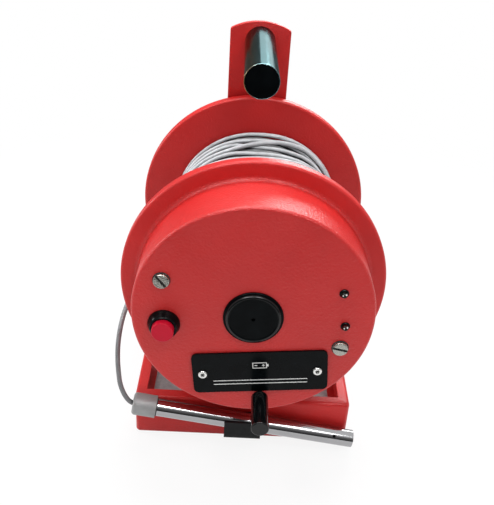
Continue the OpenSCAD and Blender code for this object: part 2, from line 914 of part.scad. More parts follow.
module cover_screw(i) {
    head_r = cover_screw_head_d / 2;
    edge = 0.8;
    front = face_y - cover_t - cover_screw_head_t;
    color("gainsboro") on_reel() at_cover_screw(i) difference() {
        union() {
            translate([0, front, 0]) revolve_y() {
                square([head_r - edge, cover_screw_head_t]);
                translate([0, edge]) square([head_r, cover_screw_head_t - edge]);
                translate([head_r - edge, edge]) circle(r = edge);
            }
            bar_y(cover_screw_d, face_y - cover_t, face_y - cover_t + cover_screw_len);
        }
        for (turn = [20, 110]) rotate([0, turn, 0])
            translate([-2, front - over, -0.45]) cube([4, 1 + over, 0.9]);
    }
}

module battery_tray() {
    color([0.12, 0.12, 0.13]) on_reel() translate([cover_x, 0, cover_z]) difference() {
        union() {
            plate_y(face_y, face_y + tray_depth) square([tray_w, tray_h], center = true);
            for (side = [-1, 1]) translate([side * (tray_w / 2 + tray_lug_w / 2 - seat), 0, 0])
                plate_y(face_back, face_back + tray_lug_t) square([tray_lug_w + 2 * seat, 12], center = true);
        }
        plate_y(face_y - over, face_y + tray_depth - tray_wall)
            square([tray_w - 2 * tray_wall, tray_h - 2 * tray_wall], center = true);
        for (side = [-1, 1]) translate([side * cover_screw_x / 2, 0, 0])
            bar_y(cover_screw_d + 2 * seat, face_y - over, face_y + tray_depth + over);
    }
}

module battery() {
    back = face_y + tray_depth - tray_wall;
    color("dimgray") on_reel() translate([cover_x - 6, 0, cover_z]) {
        translate([-battery_size[0] / 2, back - battery_size[1], -battery_size[2] / 2]) cube(battery_size);
        for (z = [-6.3, 6.3]) translate([battery_size[0] / 2, back - battery_size[1] / 2, z])
            rotate([0, 90, 0]) cylinder(d = battery_terminal[1], h = battery_terminal[0]);
    }
}

// Level circuit on four spacers
module at_board_holes() {
    dx = board_size[0] / 2 - board_inset;
    dz = board_size[2] / 2 - board_inset;
    for (x = PAIR, z = PAIR) translate([x * dx, 0, board_z + z * dz]) children();
}

module circuit_board() {
    top = face_back + board_gap + board_size[1];
    color("seagreen") on_reel() difference() {
        union() {
            translate([-board_size[0] / 2, face_back + board_gap, board_z - board_size[2] / 2])
                cube(board_size);
            translate([-12, top, board_z - 4]) cube([22, 4, 8]);
            translate([-32, top, board_z - 10]) cube([10, 3, 6]);
            translate([24, 0, board_z + 5]) bar_y(8, top, top + 12);
        }
        at_board_holes() bar_y(board_hole, face_back, top + over);
    }
}

module board_spacers() {
    color("gainsboro") on_reel() at_board_holes() {
        bar_y(6.5, face_back, face_back + board_gap);
        bar_y(board_hole - 2 * seat, face_back + board_gap, face_back + board_gap + board_size[1] + 1.5);
    }
}

// Crank: a knob that turns freely on a headed pin
module on_crank() {
    on_reel() translate([knob_x, 0, -knob_r]) children();
}

module crank_pin() {
    head_back = knob_front + knob_counter_len - axial_play;
    color([0.16, 0.16, 0.17]) on_crank() {
        bar_y(pin_d, head_back, face_back + pin_boss_len - 1);
        bar_y(pin_head_d, head_back - pin_head_t, head_back);
    }
}

module crank_pin_boss() {
    color("silver") on_crank() difference() {
        bar_y(pin_boss_d, face_back, face_back + pin_boss_len);
        bar_y(pin_d + 2 * seat, face_back - over, face_back + pin_boss_len - 1);
    }
}

module crank_knob() {
    r = knob_d / 2;
    length = knob_len - knob_cap_t;
    color([0.05, 0.05, 0.06]) on_crank() difference() {
        translate([0, knob_front + knob_cap_t, 0]) revolve_y() {
            square([r, length - knob_rear_r]);
            square([r - knob_rear_r, length]);
            translate([r - knob_rear_r, length - knob_rear_r]) circle(r = knob_rear_r);
        }
        bar_y(pin_d + 2 * run_gap, knob_front, knob_rear + over);
        bar_y(knob_counter_d, knob_front, knob_front + knob_counter_len);
    }
}

module knob_cap() {
    r = knob_d / 2;
    edge = 0.9;
    color([0.05, 0.05, 0.06]) on_crank() {
        translate([0, knob_front, 0]) revolve_y() {
            square([r - edge, knob_cap_t]);
            translate([0, edge]) square([r, knob_cap_t - edge]);
            translate([r - edge, edge]) circle(r = edge);
        }
        bar_y(knob_counter_d - 2 * seat, knob_front + knob_cap_t, knob_front + knob_cap_t + 1.6);
    }
}

// Probe clip: a bent strip screwed to the front of the base
module probe_clip() {
    width = clip_gap + 2 * clip_t;
    inner_r = clip_bend_r - clip_t;
    color([0.07, 0.07, 0.08]) translate([clip_x, base_front, clip_z]) difference() {
        rotate([90, 0, 90]) translate([0, 0, -clip_w / 2]) linear_extrude(clip_w) {
            translate([-width, clip_bend_r]) square([clip_t, clip_arm_h - clip_bend_r]);
            translate([-clip_t, 0]) square([clip_t, clip_back_h]);
            translate([clip_bend_r - width, 0]) square([width - clip_bend_r, clip_t]);
            translate([clip_bend_r - width, clip_bend_r]) difference() {
                circle(r = clip_bend_r);
                circle(r = inner_r);
                translate([0, -clip_bend_r - over]) square(2 * clip_bend_r + 2 * over);
                translate([-clip_bend_r - over, 0]) square(2 * clip_bend_r + 2 * over);
            }
        }
        for (side = PAIR) translate([side * clip_screw_x / 2, 0, clip_screw_z - clip_z]) {
            bar_y(clip_screw_d + 2 * seat, -clip_t - over, over);
            translate([0, -clip_t, 0]) rotate([-90, 0, 0])
                cylinder(d1 = clip_screw_head_d + 2 * seat, d2 = clip_screw_d + 2 * seat, h = clip_t);
        }
    }
}

module clip_screw(i) {
    color("gray") at_clip_screw(i) {
        translate([0, -clip_t, 0]) rotate([-90, 0, 0])
            cylinder(d1 = clip_screw_head_d, d2 = clip_screw_d, h = clip_t);
        bar_y(clip_screw_d, -seat, clip_screw_len);
    }
}

// Probe, built along +X from its cable end and tilted into the clip
module on_probe() {
    translate([probe_x0, probe_y, probe_z0]) rotate([0, probe_tilt, 0]) children();
}

module bar_x(d, x0, x1) {
    translate([x0, 0, 0]) rotate([0, 90, 0]) cylinder(d = d, h = x1 - x0);
}

module probe_body() {
    inner = probe_d - 2 * probe_wall;
    color("gainsboro") on_probe() difference() {
        bar_x(probe_d, probe_cap_len, probe_len);
        bar_x(inner, probe_cap_len - over, probe_len - probe_tip_wall);
        bar_x(probe_mouth_d, probe_len - probe_tip_wall - over, probe_len + over);
        translate([probe_len - probe_port_x, 0, 0]) rotate([90 - probe_port_angle, 0, 0])
            cylinder(d = probe_port_d, h = probe_d);
    }
}

module probe_cap() {
    inner = probe_d - 2 * probe_wall - 2 * seat;
    color("darkgray") on_probe() difference() {
        rotate([0, 90, 0]) rotate_extrude() polygon([[0, 0], [probe_cap_nose_d / 2, 0],
            [probe_cap_d / 2, probe_cap_chamfer], [probe_cap_d / 2, probe_cap_len],
            [inner / 2, probe_cap_len],
            [inner / 2, probe_cap_len + probe_spigot_len], [0, probe_cap_len + probe_spigot_len]]);
        bar_x(cable_d + 2 * seat, 0.6, probe_cap_len + probe_spigot_len + over);
    }
}

module probe_insulator() {
    inner = probe_d - 2 * probe_wall - 2 * seat;
    front = probe_len - probe_chamber;
    color("white") on_probe() difference() {
        bar_x(inner, front - insulator_len, front);
        bar_x(electrode_d + 2 * seat, front - insulator_len - over, front + over);
    }
}

module probe_electrode() {
    color("silver") on_probe()
        bar_x(electrode_d, probe_len - probe_chamber - insulator_len, probe_len - electrode_recess);
}

// Cable: one closed solid for the wound length and a swept tube for the free tail
module cable_winding() {
    color([0.66, 0.67, 0.66]) on_reel() revolve_y()
        polygon([[wind_inner, front_inner + wind_side_gap], [drum_r + 5, front_inner + wind_side_gap],
            [drum_r + 9, -68], [drum_r + 12, -40], [drum_r + 13.6, -17], [drum_r + 13.4, 20],
            [drum_r + 14.5, 60], [drum_r + 14, rear_face - wind_side_gap],
            [wind_inner, rear_face - wind_side_gap]]);
}

function unit(v) = v / norm(v);
function spline(p, i, t) =
    let (a = p[max(i - 1, 0)], b = p[i], c = p[i + 1], d = p[min(i + 2, len(p) - 1)])
    0.5 * (2 * b + (c - a) * t + (2 * a - 5 * b + 4 * c - d) * t * t + (3 * b - a - 3 * c + d) * t * t * t);
function sampled(p, steps) =
    [for (i = [0 : len(p) - 2], s = [0 : steps - 1]) spline(p, i, s / steps), p[len(p) - 1]];
function heading(p, i) = unit(p[min(i + 1, len(p) - 1)] - p[max(i - 1, 0)]);
function tail_ring(p, i, r) =
    let (t = heading(p, i), side = unit(cross(t, [0, 1, 0])), up = cross(side, t), step = 360 / tail_sides)
    [for (k = [0 : tail_sides - 1]) p[i] + r * (cos(step * k) * side + sin(step * k) * up)];

module cable_tail() {
    path = sampled(tail_route, tail_steps);
    last = len(path) - 1;
    points = [for (i = [0 : last]) each tail_ring(path, i, cable_r)];
    faces = [for (i = [0 : last - 1], k = [0 : tail_sides - 1])
        let (a = i * tail_sides + k, b = i * tail_sides + (k + 1) % tail_sides)
        each [[a, b, b + tail_sides], [a, b + tail_sides, a + tail_sides]]];
    front_cap = [for (k = [0 : tail_sides - 1]) tail_sides - 1 - k];
    rear_cap = [for (k = [0 : tail_sides - 1]) last * tail_sides + k];
    color([0.45, 0.46, 0.45]) polyhedron(points, concat(faces, [front_cap, rear_cap]));
}

base_frame();
back_upright();
upright_screws();
upright_nuts();
handle_tube();
handle_end_plug();
handle_insert();
handle_bolt();
axle();
axle_rear_washer();
axle_rear_nut();
axle_front_washer();
axle_front_nut();
rear_bush();
front_bush();
rear_hub();
front_hub();
rear_flange();
front_flange();
drum_core();
drum_grommet();
housing_grommet();
tie_bolts();
tie_nuts();
housing_shell();
housing_posts();
housing_seals();
button_collar();
button_cap();
button_nut();
buzzer_case();
buzzer_element();
buzzer_nut();
lamp_green();
lamp_red();
battery_cover();
battery_tray();
battery();
circuit_board();
board_spacers();
crank_pin();
crank_pin_boss();
crank_knob();
knob_cap();
probe_clip();
probe_body();
probe_cap();
probe_insulator();
probe_electrode();
cable_winding();
cable_tail();
for (i = [0, 1]) {
    housing_screw(i);
    cover_screw(i);
    clip_screw(i);
    lamp_holder(i);
}
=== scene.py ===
"""Dresses a portable water level meter: a cable reel on an open floor frame, in metres, +Z up, front facing -Y."""

import math

import bmesh
import bpy
import numpy as np
from bpy.props import FloatProperty, FloatVectorProperty, IntProperty, PointerProperty
from mathutils import Matrix, Vector


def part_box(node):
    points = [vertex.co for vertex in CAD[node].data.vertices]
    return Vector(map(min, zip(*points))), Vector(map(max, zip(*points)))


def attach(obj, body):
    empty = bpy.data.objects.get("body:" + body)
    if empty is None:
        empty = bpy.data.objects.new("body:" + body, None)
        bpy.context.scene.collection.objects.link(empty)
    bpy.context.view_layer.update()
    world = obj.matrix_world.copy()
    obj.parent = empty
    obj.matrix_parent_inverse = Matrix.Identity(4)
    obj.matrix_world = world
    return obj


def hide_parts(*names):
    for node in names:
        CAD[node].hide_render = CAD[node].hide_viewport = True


bl_info = {
    "name": "Water level meter",
    "version": (1, 0, 0),
    "blender": (4, 5, 0),
    "location": "View3D > Sidebar > Meter",
    "description": "Builds and dresses a portable water level meter with its cable reel and probe",
    "category": "Add Mesh",
}

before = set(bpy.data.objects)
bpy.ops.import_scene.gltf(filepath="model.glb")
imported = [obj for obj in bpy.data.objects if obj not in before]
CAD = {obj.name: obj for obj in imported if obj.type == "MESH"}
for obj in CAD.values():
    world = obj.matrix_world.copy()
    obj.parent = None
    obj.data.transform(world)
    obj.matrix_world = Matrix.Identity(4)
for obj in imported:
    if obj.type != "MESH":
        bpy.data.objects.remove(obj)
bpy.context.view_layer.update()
MM = 0.001

# Places read from the frame
FLANGE_LOW, FLANGE_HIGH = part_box("front_flange")
REAR_LOW, REAR_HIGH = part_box("rear_flange")
SHELL_LOW, SHELL_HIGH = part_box("housing_shell")
BASE_LOW, BASE_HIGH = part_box("base_frame")
UPRIGHT_LOW, UPRIGHT_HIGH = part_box("back_upright")
AXLE = Vector(((FLANGE_LOW.x + FLANGE_HIGH.x) / 2, 0, (FLANGE_LOW.z + FLANGE_HIGH.z) / 2))
FLANGE_R = (FLANGE_HIGH.x - FLANGE_LOW.x) / 2
HOUSING_R = (SHELL_HIGH.x - SHELL_LOW.x) / 2


# Settings

def length_setting(name, description, default):
    """A length in metres, shown with its unit."""
    return FloatProperty(name=name, description=description, default=default, unit="LENGTH", precision=4)


def angle_setting(name, description, default):
    """An angle, kept in radians and shown in degrees."""
    return FloatProperty(name=name, description=description, default=default, subtype="ANGLE")


def power_setting(name, description, default):
    """A lamp's power in watts."""
    return FloatProperty(name=name, description=description, default=default, unit="POWER")


def colour_setting(name, description, default):
    """A colour without alpha."""
    return FloatVectorProperty(name=name, description=description, default=default, subtype="COLOR", size=3,
                               min=0, max=1)


class FrameSizes(bpy.types.PropertyGroup):
    """Sizes of the base frame, the upright and their edges."""

    corner: length_setting("Base corner", "Radius of the base's upright edges", 0.004)
    fold: length_setting("Fold", "Outer radius of the channel's folds", 0.0032)
    sheet: length_setting("Sheet", "Thickness of the channel's sheet", 0.0025)
    lip: length_setting("Lip", "Width of the channel's lips", 0.010)
    arch: length_setting("Arch", "Radius of the upright's arched top", 0.056)
    edge: length_setting("Plate edge", "Rounding of the upright's painted edges", 0.0007)


class ReelSizes(bpy.types.PropertyGroup):
    """Sizes of the flanges and the alarm housing."""

    turn: angle_setting("Reel turn", "Turn of the reel at rest", math.radians(5.5))
    sheet: length_setting("Sheet", "Thickness of the spun sheets", 0.002)
    rim_fold: length_setting("Rim fold", "Outer radius of a flange's turned rim", 0.0026)
    face_edge: length_setting("Face edge", "Radius of the housing's face edge", 0.0028)
    fillet: length_setting("Fillet", "Radius of the filled joint between housing and flange", 0.0042)


class CableSizes(bpy.types.PropertyGroup):
    """Sizes of the measuring cable and its winding."""

    diameter: length_setting("Cable", "Diameter of the cable", 0.0042)
    first_radius: length_setting("First layer", "Radius of the first layer's middle line", 0.0674)
    layer_step: length_setting("Layer step", "Distance between two layers", 0.0039)
    tight_turns: IntProperty(name="Turns in a layer", description="Turns of each tight layer", default=34)
    margin: length_setting("Margin", "Distance of the end turns from the flanges", 0.0026)


class Looks(bpy.types.PropertyGroup):
    """Colours of the main finishes."""

    paint: colour_setting("Red enamel", "Colour of the painted sheet", (0.54, 0.016, 0.015))
    cable: colour_setting("Cable jacket", "Colour of the cable", (0.50, 0.52, 0.54))
    black: colour_setting("Black plastic", "Colour of the moulded black parts", (0.0016, 0.0022, 0.0026))
    button: colour_setting("Push button", "Colour of the red button", (0.54, 0.006, 0.028))


class StageSettings(bpy.types.PropertyGroup):
    """Camera, lamps and surroundings."""

    camera: FloatVectorProperty(name="Camera", description="Place of the camera", subtype="TRANSLATION",
                                size=3, default=(-0.0169, -0.5671, 0.4713))
    yaw: angle_setting("Yaw", "Camera's turn to the right", 0.0257)
    pitch: angle_setting("Pitch", "Camera's tilt down", 0.5249)
    roll: angle_setting("Roll", "Camera's roll", 0.0636)
    lens: FloatProperty(name="Lens", description="Focal length for a 36 mm sensor", default=50.2)
    back_power: power_setting("Back lamp", "Power of the lamp behind on the right", 6.5)
    side_power: power_setting("Side lamp", "Power of the lamp on the left", 5.0)
    top_power: power_setting("Top lamp", "Power of the lamp above the reel", 14.0)
    front_power: power_setting("Front lamps", "Power of the right lamp above the camera; the left one has 0.8 of it",
                               4.5)
    sky: FloatProperty(name="Surroundings", description="Strength of the light from all round", default=0.5)


GROUPS = {
    "meter_frame": FrameSizes,
    "meter_reel": ReelSizes,
    "meter_cable": CableSizes,
    "meter_looks": Looks,
    "meter_stage": StageSettings,
}


# Shapes

def rounded(corners, steps=6, loop=False):
    """A line of straight runs in which each corner (x, y, radius) becomes an arc of that radius."""
    place = np.array([c[:2] for c in corners], float)
    parts = []
    for i, (corner, radius) in enumerate(zip(place, [c[2] for c in corners])):
        at_end = not loop and i in (0, len(corners) - 1)
        if radius == 0 or at_end:
            parts.append(corner[None])
            continue
        back = place[i - 1] - corner
        ahead = place[(i + 1) % len(corners)] - corner
        back /= np.linalg.norm(back)
        ahead /= np.linalg.norm(ahead)
        half = math.acos(np.clip(back @ ahead, -1, 1)) / 2
        middle = (back + ahead) / np.linalg.norm(back + ahead)
        centre = corner + middle * radius / math.sin(half)
        start = corner + back * radius / math.tan(half) - centre
        end = corner + ahead * radius / math.tan(half) - centre
        first = math.atan2(start[1], start[0])
        sweep = (math.atan2(end[1], end[0]) - first + math.pi) % (2 * math.pi) - math.pi
        angle = first + sweep * np.linspace(0, 1, steps + 1)
        parts.append(centre + radius * np.stack([np.cos(angle), np.sin(angle)], -1))
    return np.vstack(parts)


def lattice(rows, columns, close_rows=False):
    """Four-sided faces over a grid of points whose columns close into rings, and whose rows may close too."""
    row = np.arange(rows if close_rows else rows - 1)[:, None]
    column = np.arange(columns)[None]
    below = (row + 1) % rows
    beside = (column + 1) % columns
    corners = [row * columns + column, row * columns + beside, below * columns + beside, below * columns + column]
    return np.stack([np.broadcast_to(c, (len(row), columns)) for c in corners], -1).reshape(-1, 4)


def volume(points, faces):
    """Signed volume inside four-sided faces: the sum of the pyramids from the origin to each half face."""
    a, b, c, d = (points[faces[:, k]] for k in range(4))
    half_one = np.einsum("ij,ij->i", a, np.cross(b, c))
    half_two = np.einsum("ij,ij->i", a, np.cross(c, d))
    return (half_one.sum() + half_two.sum()) / 6


def shell(rings, close_rows=False, caps=False):
    """Points and outward faces of a surface given as rings of points, with flat caps on its ends if asked."""
    rows, columns = rings.shape[:2]
    points = rings.reshape(-1, 3)
    centred = points - points.mean(0)
    quads = lattice(rows, columns, close_rows)
    turned = volume(centred, quads) < 0
    faces = quads[:, ::-1].tolist() if turned else quads.tolist()
    if caps:
        first = np.arange(columns)
        last = first + (rows - 1) * columns
        faces += [first.tolist() if turned else first[::-1].tolist(), last[::-1].tolist() if turned else last.tolist()]
    return points, faces


def joined(shells):
    """Several shells as one list of points and one list of faces."""
    points, faces, start = [], [], 0
    for some_points, some_faces in shells:
        points.append(some_points)
        faces += [[start + corner for corner in face] for face in some_faces]
        start += len(some_points)
    return np.vstack(points), faces


def revolved(profile, centre=(0, 0, 0), axis=(0, 1, 0), segments=144, loop=False):
    """A profile of (radius, distance along the axis) turned once about the axis through the centre."""
    axis = np.array(axis, float) / np.linalg.norm(axis)
    side = np.cross(axis, [0, 0, 1] if abs(axis[2]) < 0.9 else [1, 0, 0])
    side /= np.linalg.norm(side)
    across = np.cross(axis, side)
    angle = np.linspace(0, 2 * np.pi, segments, endpoint=False)
    spoke = np.cos(angle)[:, None] * side + np.sin(angle)[:, None] * across
    profile = np.asarray(profile, float)
    rings = np.array(centre, float) + profile[:, None, :1] * spoke[None] + profile[:, None, 1:] * axis
    return shell(rings, close_rows=loop)


def plate(outline, y_front, y_back, edge, steps=4):
    """An outline (x, z) carried from front to back; near both faces it draws in along a quarter circle."""
    ahead = np.roll(outline, -1, 0) - np.roll(outline, 1, 0)
    normal = np.stack([ahead[:, 1], -ahead[:, 0]], -1)
    normal /= np.linalg.norm(normal, axis=1, keepdims=True)
    area = (outline[:, 0] * np.roll(outline[:, 1], -1) - np.roll(outline[:, 0], -1) * outline[:, 1]).sum() / 2
    normal *= math.copysign(1, area)
    bend = np.linspace(0, np.pi / 2, steps + 1)
    inset = edge * (1 - np.sin(bend))
    depth = edge * (1 - np.cos(bend))
    inset = np.concatenate([inset, inset[::-1]])
    along = np.concatenate([y_front + depth, y_back - depth[::-1]])
    flat = outline[None] - inset[:, None, None] * normal[None]
    rings = np.stack([flat[..., 0], np.broadcast_to(along[:, None], flat.shape[:2]), flat[..., 1]], -1)
    return shell(rings, caps=True)


def tube_rings(path, radius, sides):
    """Rings of a round tube: each stands square to the path, its first spoke turned towards the Y axis."""
    ahead = np.gradient(path, axis=0)
    ahead /= np.linalg.norm(ahead, axis=1, keepdims=True)
    across = np.cross(ahead, [0, 1, 0])
    across /= np.linalg.norm(across, axis=1, keepdims=True)
    rise = np.cross(across, ahead)
    angle = np.linspace(0, 2 * np.pi, sides, endpoint=False)
    spoke = np.cos(angle)[None, :, None] * across[:, None] + np.sin(angle)[None, :, None] * rise[:, None]
    radius = np.broadcast_to(radius, len(path))
    return path[:, None] + radius[:, None, None] * spoke


def smooth_through(knots, values, at, steady=False):
    """A cubic curve through the values at the knots: each slope is that of its two neighbours' chord.

    A steady curve keeps each slope below three times the flatter of its two chords, so that it swings out less."""
    knots = np.asarray(knots, float)
    values = np.asarray(values, float)
    slope = np.gradient(values, knots)
    if steady:
        chord = np.abs(np.diff(values) / np.diff(knots))
        limit = 3 * np.minimum(np.append(chord, chord[-1]), np.insert(chord, 0, chord[0]))
        slope = np.clip(slope, -limit, limit)
    i = np.clip(np.searchsorted(knots, at, side="right") - 1, 0, len(knots) - 2)
    width = knots[i + 1] - knots[i]
    t = (at - knots[i]) / width
    rise = values[i + 1] - values[i]
    cubic = (slope[i] + slope[i + 1]) * width - 2 * rise
    square = rise - slope[i] * width - cubic
    return values[i] + t * (slope[i] * width + t * (square + t * cubic))


def on_reel(points):
    """Points in the reel's own frame, turned about the axle to the reel's rest position."""
    turn = bpy.context.scene.meter_reel.turn
    x, y, z = np.asarray(points, float).T
    return np.stack([x * math.cos(turn) - z * math.sin(turn) + AXLE.x, y,
                     x * math.sin(turn) + z * math.cos(turn) + AXLE.z], -1)


def flat_bars(bars, y_low, y_high):
    """Upright bars on the reel: x, z of the middle, width, height and angle in degrees, in millimetres."""
    shells = []
    for x, z, width, height, angle in bars:
        corner = np.array([(-1, -1), (1, -1), (1, 1), (-1, 1)]) * [width / 2, height / 2] * MM
        turn = math.radians(angle)
        spin = np.array([(math.cos(turn), math.sin(turn)), (-math.sin(turn), math.cos(turn))])
        flat = corner @ spin + np.array([x, z]) * MM
        rings = np.stack([np.insert(flat, 1, y, axis=1) for y in (y_high, y_low)])
        points, faces = shell(rings, caps=True)
        shells.append((on_reel(points), faces))
    return joined(shells)


def add_piece(name, surface, body, finish, hides=(), sharp=40):
    """Puts a surface into the scene as a piece of that body, welded, smooth below the sharp angle in degrees."""
    points, faces = surface
    mesh = bpy.data.meshes.new(name)
    mesh.from_pydata(np.asarray(points).tolist(), [], faces)
    work = bmesh.new()
    work.from_mesh(mesh)
    bmesh.ops.remove_doubles(work, verts=work.verts, dist=1e-7)
    work.to_mesh(mesh)
    work.free()
    mesh.polygons.foreach_set("use_smooth", np.ones(len(mesh.polygons), bool))
    mesh.set_sharp_from_angle(angle=math.radians(sharp))
    piece = bpy.data.objects.new(name, mesh)
    bpy.context.scene.collection.objects.link(piece)
    mesh.materials.append(finish)
    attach(piece, body)
    if hides:
        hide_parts(*hides)
    return piece


def dress(names, finish):
    """Gives one finish to the construction's own parts."""
    for name in names.split():
        mesh = CAD[name].data
        mesh.materials.clear()
        mesh.materials.append(finish)


# Finishes

FINISHES = {}
# Most of what a noise gives lies between these two
NOISE_LOW, NOISE_HIGH = 0.3, 0.7


def blank_material(name):
    """A new material and its empty node tree."""
    material = bpy.data.materials.new(name)
    material.use_nodes = True
    material.node_tree.nodes.clear()
    return material, material.node_tree


def feed(tree, target, inputs):
    """Gives each named input of a node a value or another node's output."""
    for key, value in inputs.items():
        if isinstance(value, bpy.types.NodeSocket):
            tree.links.new(value, target.inputs[key])
        else:
            target.inputs[key].default_value = value


def node(tree, kind, inputs=None, **settings):
    """A new shader node of that kind, with its settings and inputs."""
    made = tree.nodes.new("ShaderNode" + kind)
    for key, value in settings.items():
        setattr(made, key, value)
    feed(tree, made, inputs or {})
    return made


def own_place(tree, axis=None):
    """The shaded point in the piece's own coordinates, or its coordinate on one axis."""
    place = node(tree, "TexCoord").outputs["Object"]
    return node(tree, "SeparateXYZ", {0: place}).outputs[axis] if axis else place


def vector(tree, operation, inputs, output=0):
    """The result of an operation on vectors."""
    return node(tree, "VectorMath", inputs, operation=operation).outputs[output]


def scalar(tree, operation, first, second):
    """The result of an operation on two numbers."""
    return node(tree, "Math", {0: first, 1: second}, operation=operation).outputs[0]


def between(tree, value, start, end, low=0.0, high=1.0):
    """A number that goes from low to high as the value goes from start to end, and no further."""
    inputs = {"Value": value, "From Min": start, "From Max": end, "To Min": low, "To Max": high}
    return node(tree, "MapRange", inputs).outputs["Result"]


def spread(tree, factor, low, high):
    """A number that goes from low to high with a noise or another factor."""
    return between(tree, factor, NOISE_LOW, NOISE_HIGH, low, high)


def ramp(tree, noise, low, high):
    """A colour that goes from low to high with a noise."""
    blend = node(tree, "ValToRGB", {"Fac": noise})
    for element, position, colour in zip(blend.color_ramp.elements, (NOISE_LOW, NOISE_HIGH), (low, high)):
        element.position = position
        element.color = (*colour, 1)
    return blend.outputs["Color"]


def mixed(tree, share, tone, colour):
    """A tone that turns into the colour as the share goes from zero to one."""
    return node(tree, "MixRGB", {"Fac": share, "Color1": tone, "Color2": (*colour, 1)}).outputs["Color"]


def grain(tree, scale, detail=3.0, stretch=(1, 1, 1)):
    """Noise on the piece's own coordinates, with about scale lumps a metre, drawn out by stretch."""
    drawn = node(tree, "Mapping", {"Vector": own_place(tree), "Scale": stretch}).outputs[0]
    return node(tree, "TexNoise", {"Vector": drawn, "Scale": scale, "Detail": detail}).outputs["Fac"]


def relief(tree, shader, height, depth, after=None):
    """Bumps of that depth in metres from a height, laid over an earlier bump if one is given."""
    inputs = {"Height": height, "Distance": depth, "Strength": 1}
    if after:
        inputs["Normal"] = after
    bumps = node(tree, "Bump", inputs).outputs["Normal"]
    tree.links.new(bumps, shader.inputs["Normal"])
    return bumps


def shaded(colour, by):
    """A colour made darker or lighter by a factor."""
    return tuple(min(1.0, c * by) for c in colour)


def new_finish(name):
    """A material, its tree and its principled shader, or the finished material alone if it is made already."""
    if name in FINISHES:
        return FINISHES[name], None, None
    FINISHES[name], tree = blank_material(name)
    shader = node(tree, "BsdfPrincipled")
    node(tree, "OutputMaterial", {"Surface": shader.outputs[0]})
    return FINISHES[name], tree, shader


def red_enamel(name="red_enamel", peel=0.00025, gloss=0.33):
    """Sprayed enamel: orange peel of 2 mm, slow changes of tone and a thin clear gloss."""
    material, tree, shader = new_finish(name)
    if tree:
        red = bpy.context.scene.meter_looks.paint
        feed(tree, shader, {
            "Base Color": ramp(tree, grain(tree, 14, 2), shaded(red, 0.93), shaded(red, 1.06)),
            "Roughness": spread(tree, grain(tree, 40), 0.34, 0.44),
            "Specular IOR Level": gloss})
        lumps = relief(tree, shader, grain(tree, 600, 2), peel)
        relief(tree, shader, grain(tree, 1700, 1), 0.00004, lumps)
    return material


def moulded(name, low, high, rough, scale=120, depth=0.00001, gloss=0.5, lumps=None):
    """A moulded or coated surface with fine lumps, whose colour drifts between two tones.

    Rough is one roughness, or the two that it drifts between and the scale of that drift."""
    material, tree, shader = new_finish(name)
    if tree:
        if isinstance(rough, tuple):
            rough = spread(tree, grain(tree, rough[2]), *rough[:2])
        feed(tree, shader, {"Base Color": ramp(tree, grain(tree, scale), low, high), "Roughness": rough,
                            "Specular IOR Level": gloss})
        relief(tree, shader, grain(tree, lumps or scale * 8, 2), depth)
    return material


def black_moulding(name="black_moulding", gloss=0.05):
    """Glossy moulded plastic with a faint flow grain."""
    black = bpy.context.scene.meter_looks.black
    return moulded(name, black, shaded(black, 1.8), (0.12, 0.22, 260), 90, 0.000008, gloss, 900)


def matte_moulding():
    """Matte black plastic with a fine spark-eroded grain."""
    black = bpy.context.scene.meter_looks.black
    return moulded("matte_moulding", black, shaded(black, 2.2), (0.42, 0.6, 500), 120, 0.00002, 0.2, 2600)


def soft_rubber():
    """Black rubber with a dusty bloom."""
    return moulded("soft_rubber", (0.012, 0.012, 0.012), (0.03, 0.03, 0.029), 0.72, 150, 0.00003, lumps=1800)


def metal(name, colour, rough_low, rough_high, stretch=(1, 1, 1), scale=400, depth=0.000004, painted_reflection=None, edge=1.0):
    """Bare metal whose fine scratches run along the direction that stretch leaves short, with a painted reflection
    laid on its colour if given.

    Edge is how bright it is where it turns away, against clean metal."""
    material, tree, shader = new_finish(name)
    if tree:
        scratches = grain(tree, scale, 4, stretch)
        tone = ramp(tree, grain(tree, 60), shaded(colour, 0.92), colour)
        feed(tree, shader, {
            "Base Color": painted_reflection(tree, tone) if painted_reflection else tone,
            "Roughness": spread(tree, scratches, rough_low, rough_high),
            "Metallic": 1, "Specular Tint": (edge, edge, edge, 1)})
        relief(tree, shader, scratches, depth)
    return material


def warm_painted_reflection(tree, tone):
    """A tone that turns warm from just left of the tube's middle to its left side: a painted reflection of something
    warm.
    """
    low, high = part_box("handle_tube")
    share = between(tree, own_place(tree, "X"), (low.x + high.x) / 2 - 3 * MM, low.x)
    return mixed(tree, share, tone, (0.36, 0.26, 0.13))


def plated_tube():
    """Dull bright plating on the handle's tube, drawn lengthwise."""
    return metal("tube_plating", (0.19, 0.32, 0.34), 0.12, 0.20, (1, 0.06, 1), 500, painted_reflection=warm_painted_reflection, edge=0.35)


def zinc_plate():
    """Zinc plated steel, slightly cloudy."""
    return metal("zinc_plate", (0.58, 0.59, 0.60), 0.28, 0.44, scale=300)


def blackened_steel():
    """Steel with a thin black oxide."""
    return metal("blackened_steel", (0.05, 0.05, 0.055), 0.3, 0.45)


# Painted glints on a lamp's dome: distance to the right of its middle and up, and radius, in millimetres
PAINTED_GLINTS = ((-1.2, 0.5, 0.55), (1.3, 1.4, 0.8))


def lamp_glass(name, colour, part):
    """Tinted clear resin of a signal lamp that is off, with two pale flecks painted on as glints."""
    material, tree, shader = new_finish(name)
    if tree:
        low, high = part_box(part)
        tone = ramp(tree, grain(tree, 500), colour, shaded(colour, 1.5))
        for right, up, size in PAINTED_GLINTS:
            end = ((low.x + high.x) / 2 + right * MM, low.y + 0.6 * MM, (low.z + high.z) / 2 + up * MM)
            apart = vector(tree, "DISTANCE", {0: own_place(tree), 1: end}, "Value")
            tone = mixed(tree, between(tree, apart, size * 1.2 * MM, size * 0.7 * MM), tone, (0.9, 0.9, 0.88))
        feed(tree, shader, {"Base Color": tone, "Roughness": 0.12, "Specular IOR Level": 0.2})
    return material


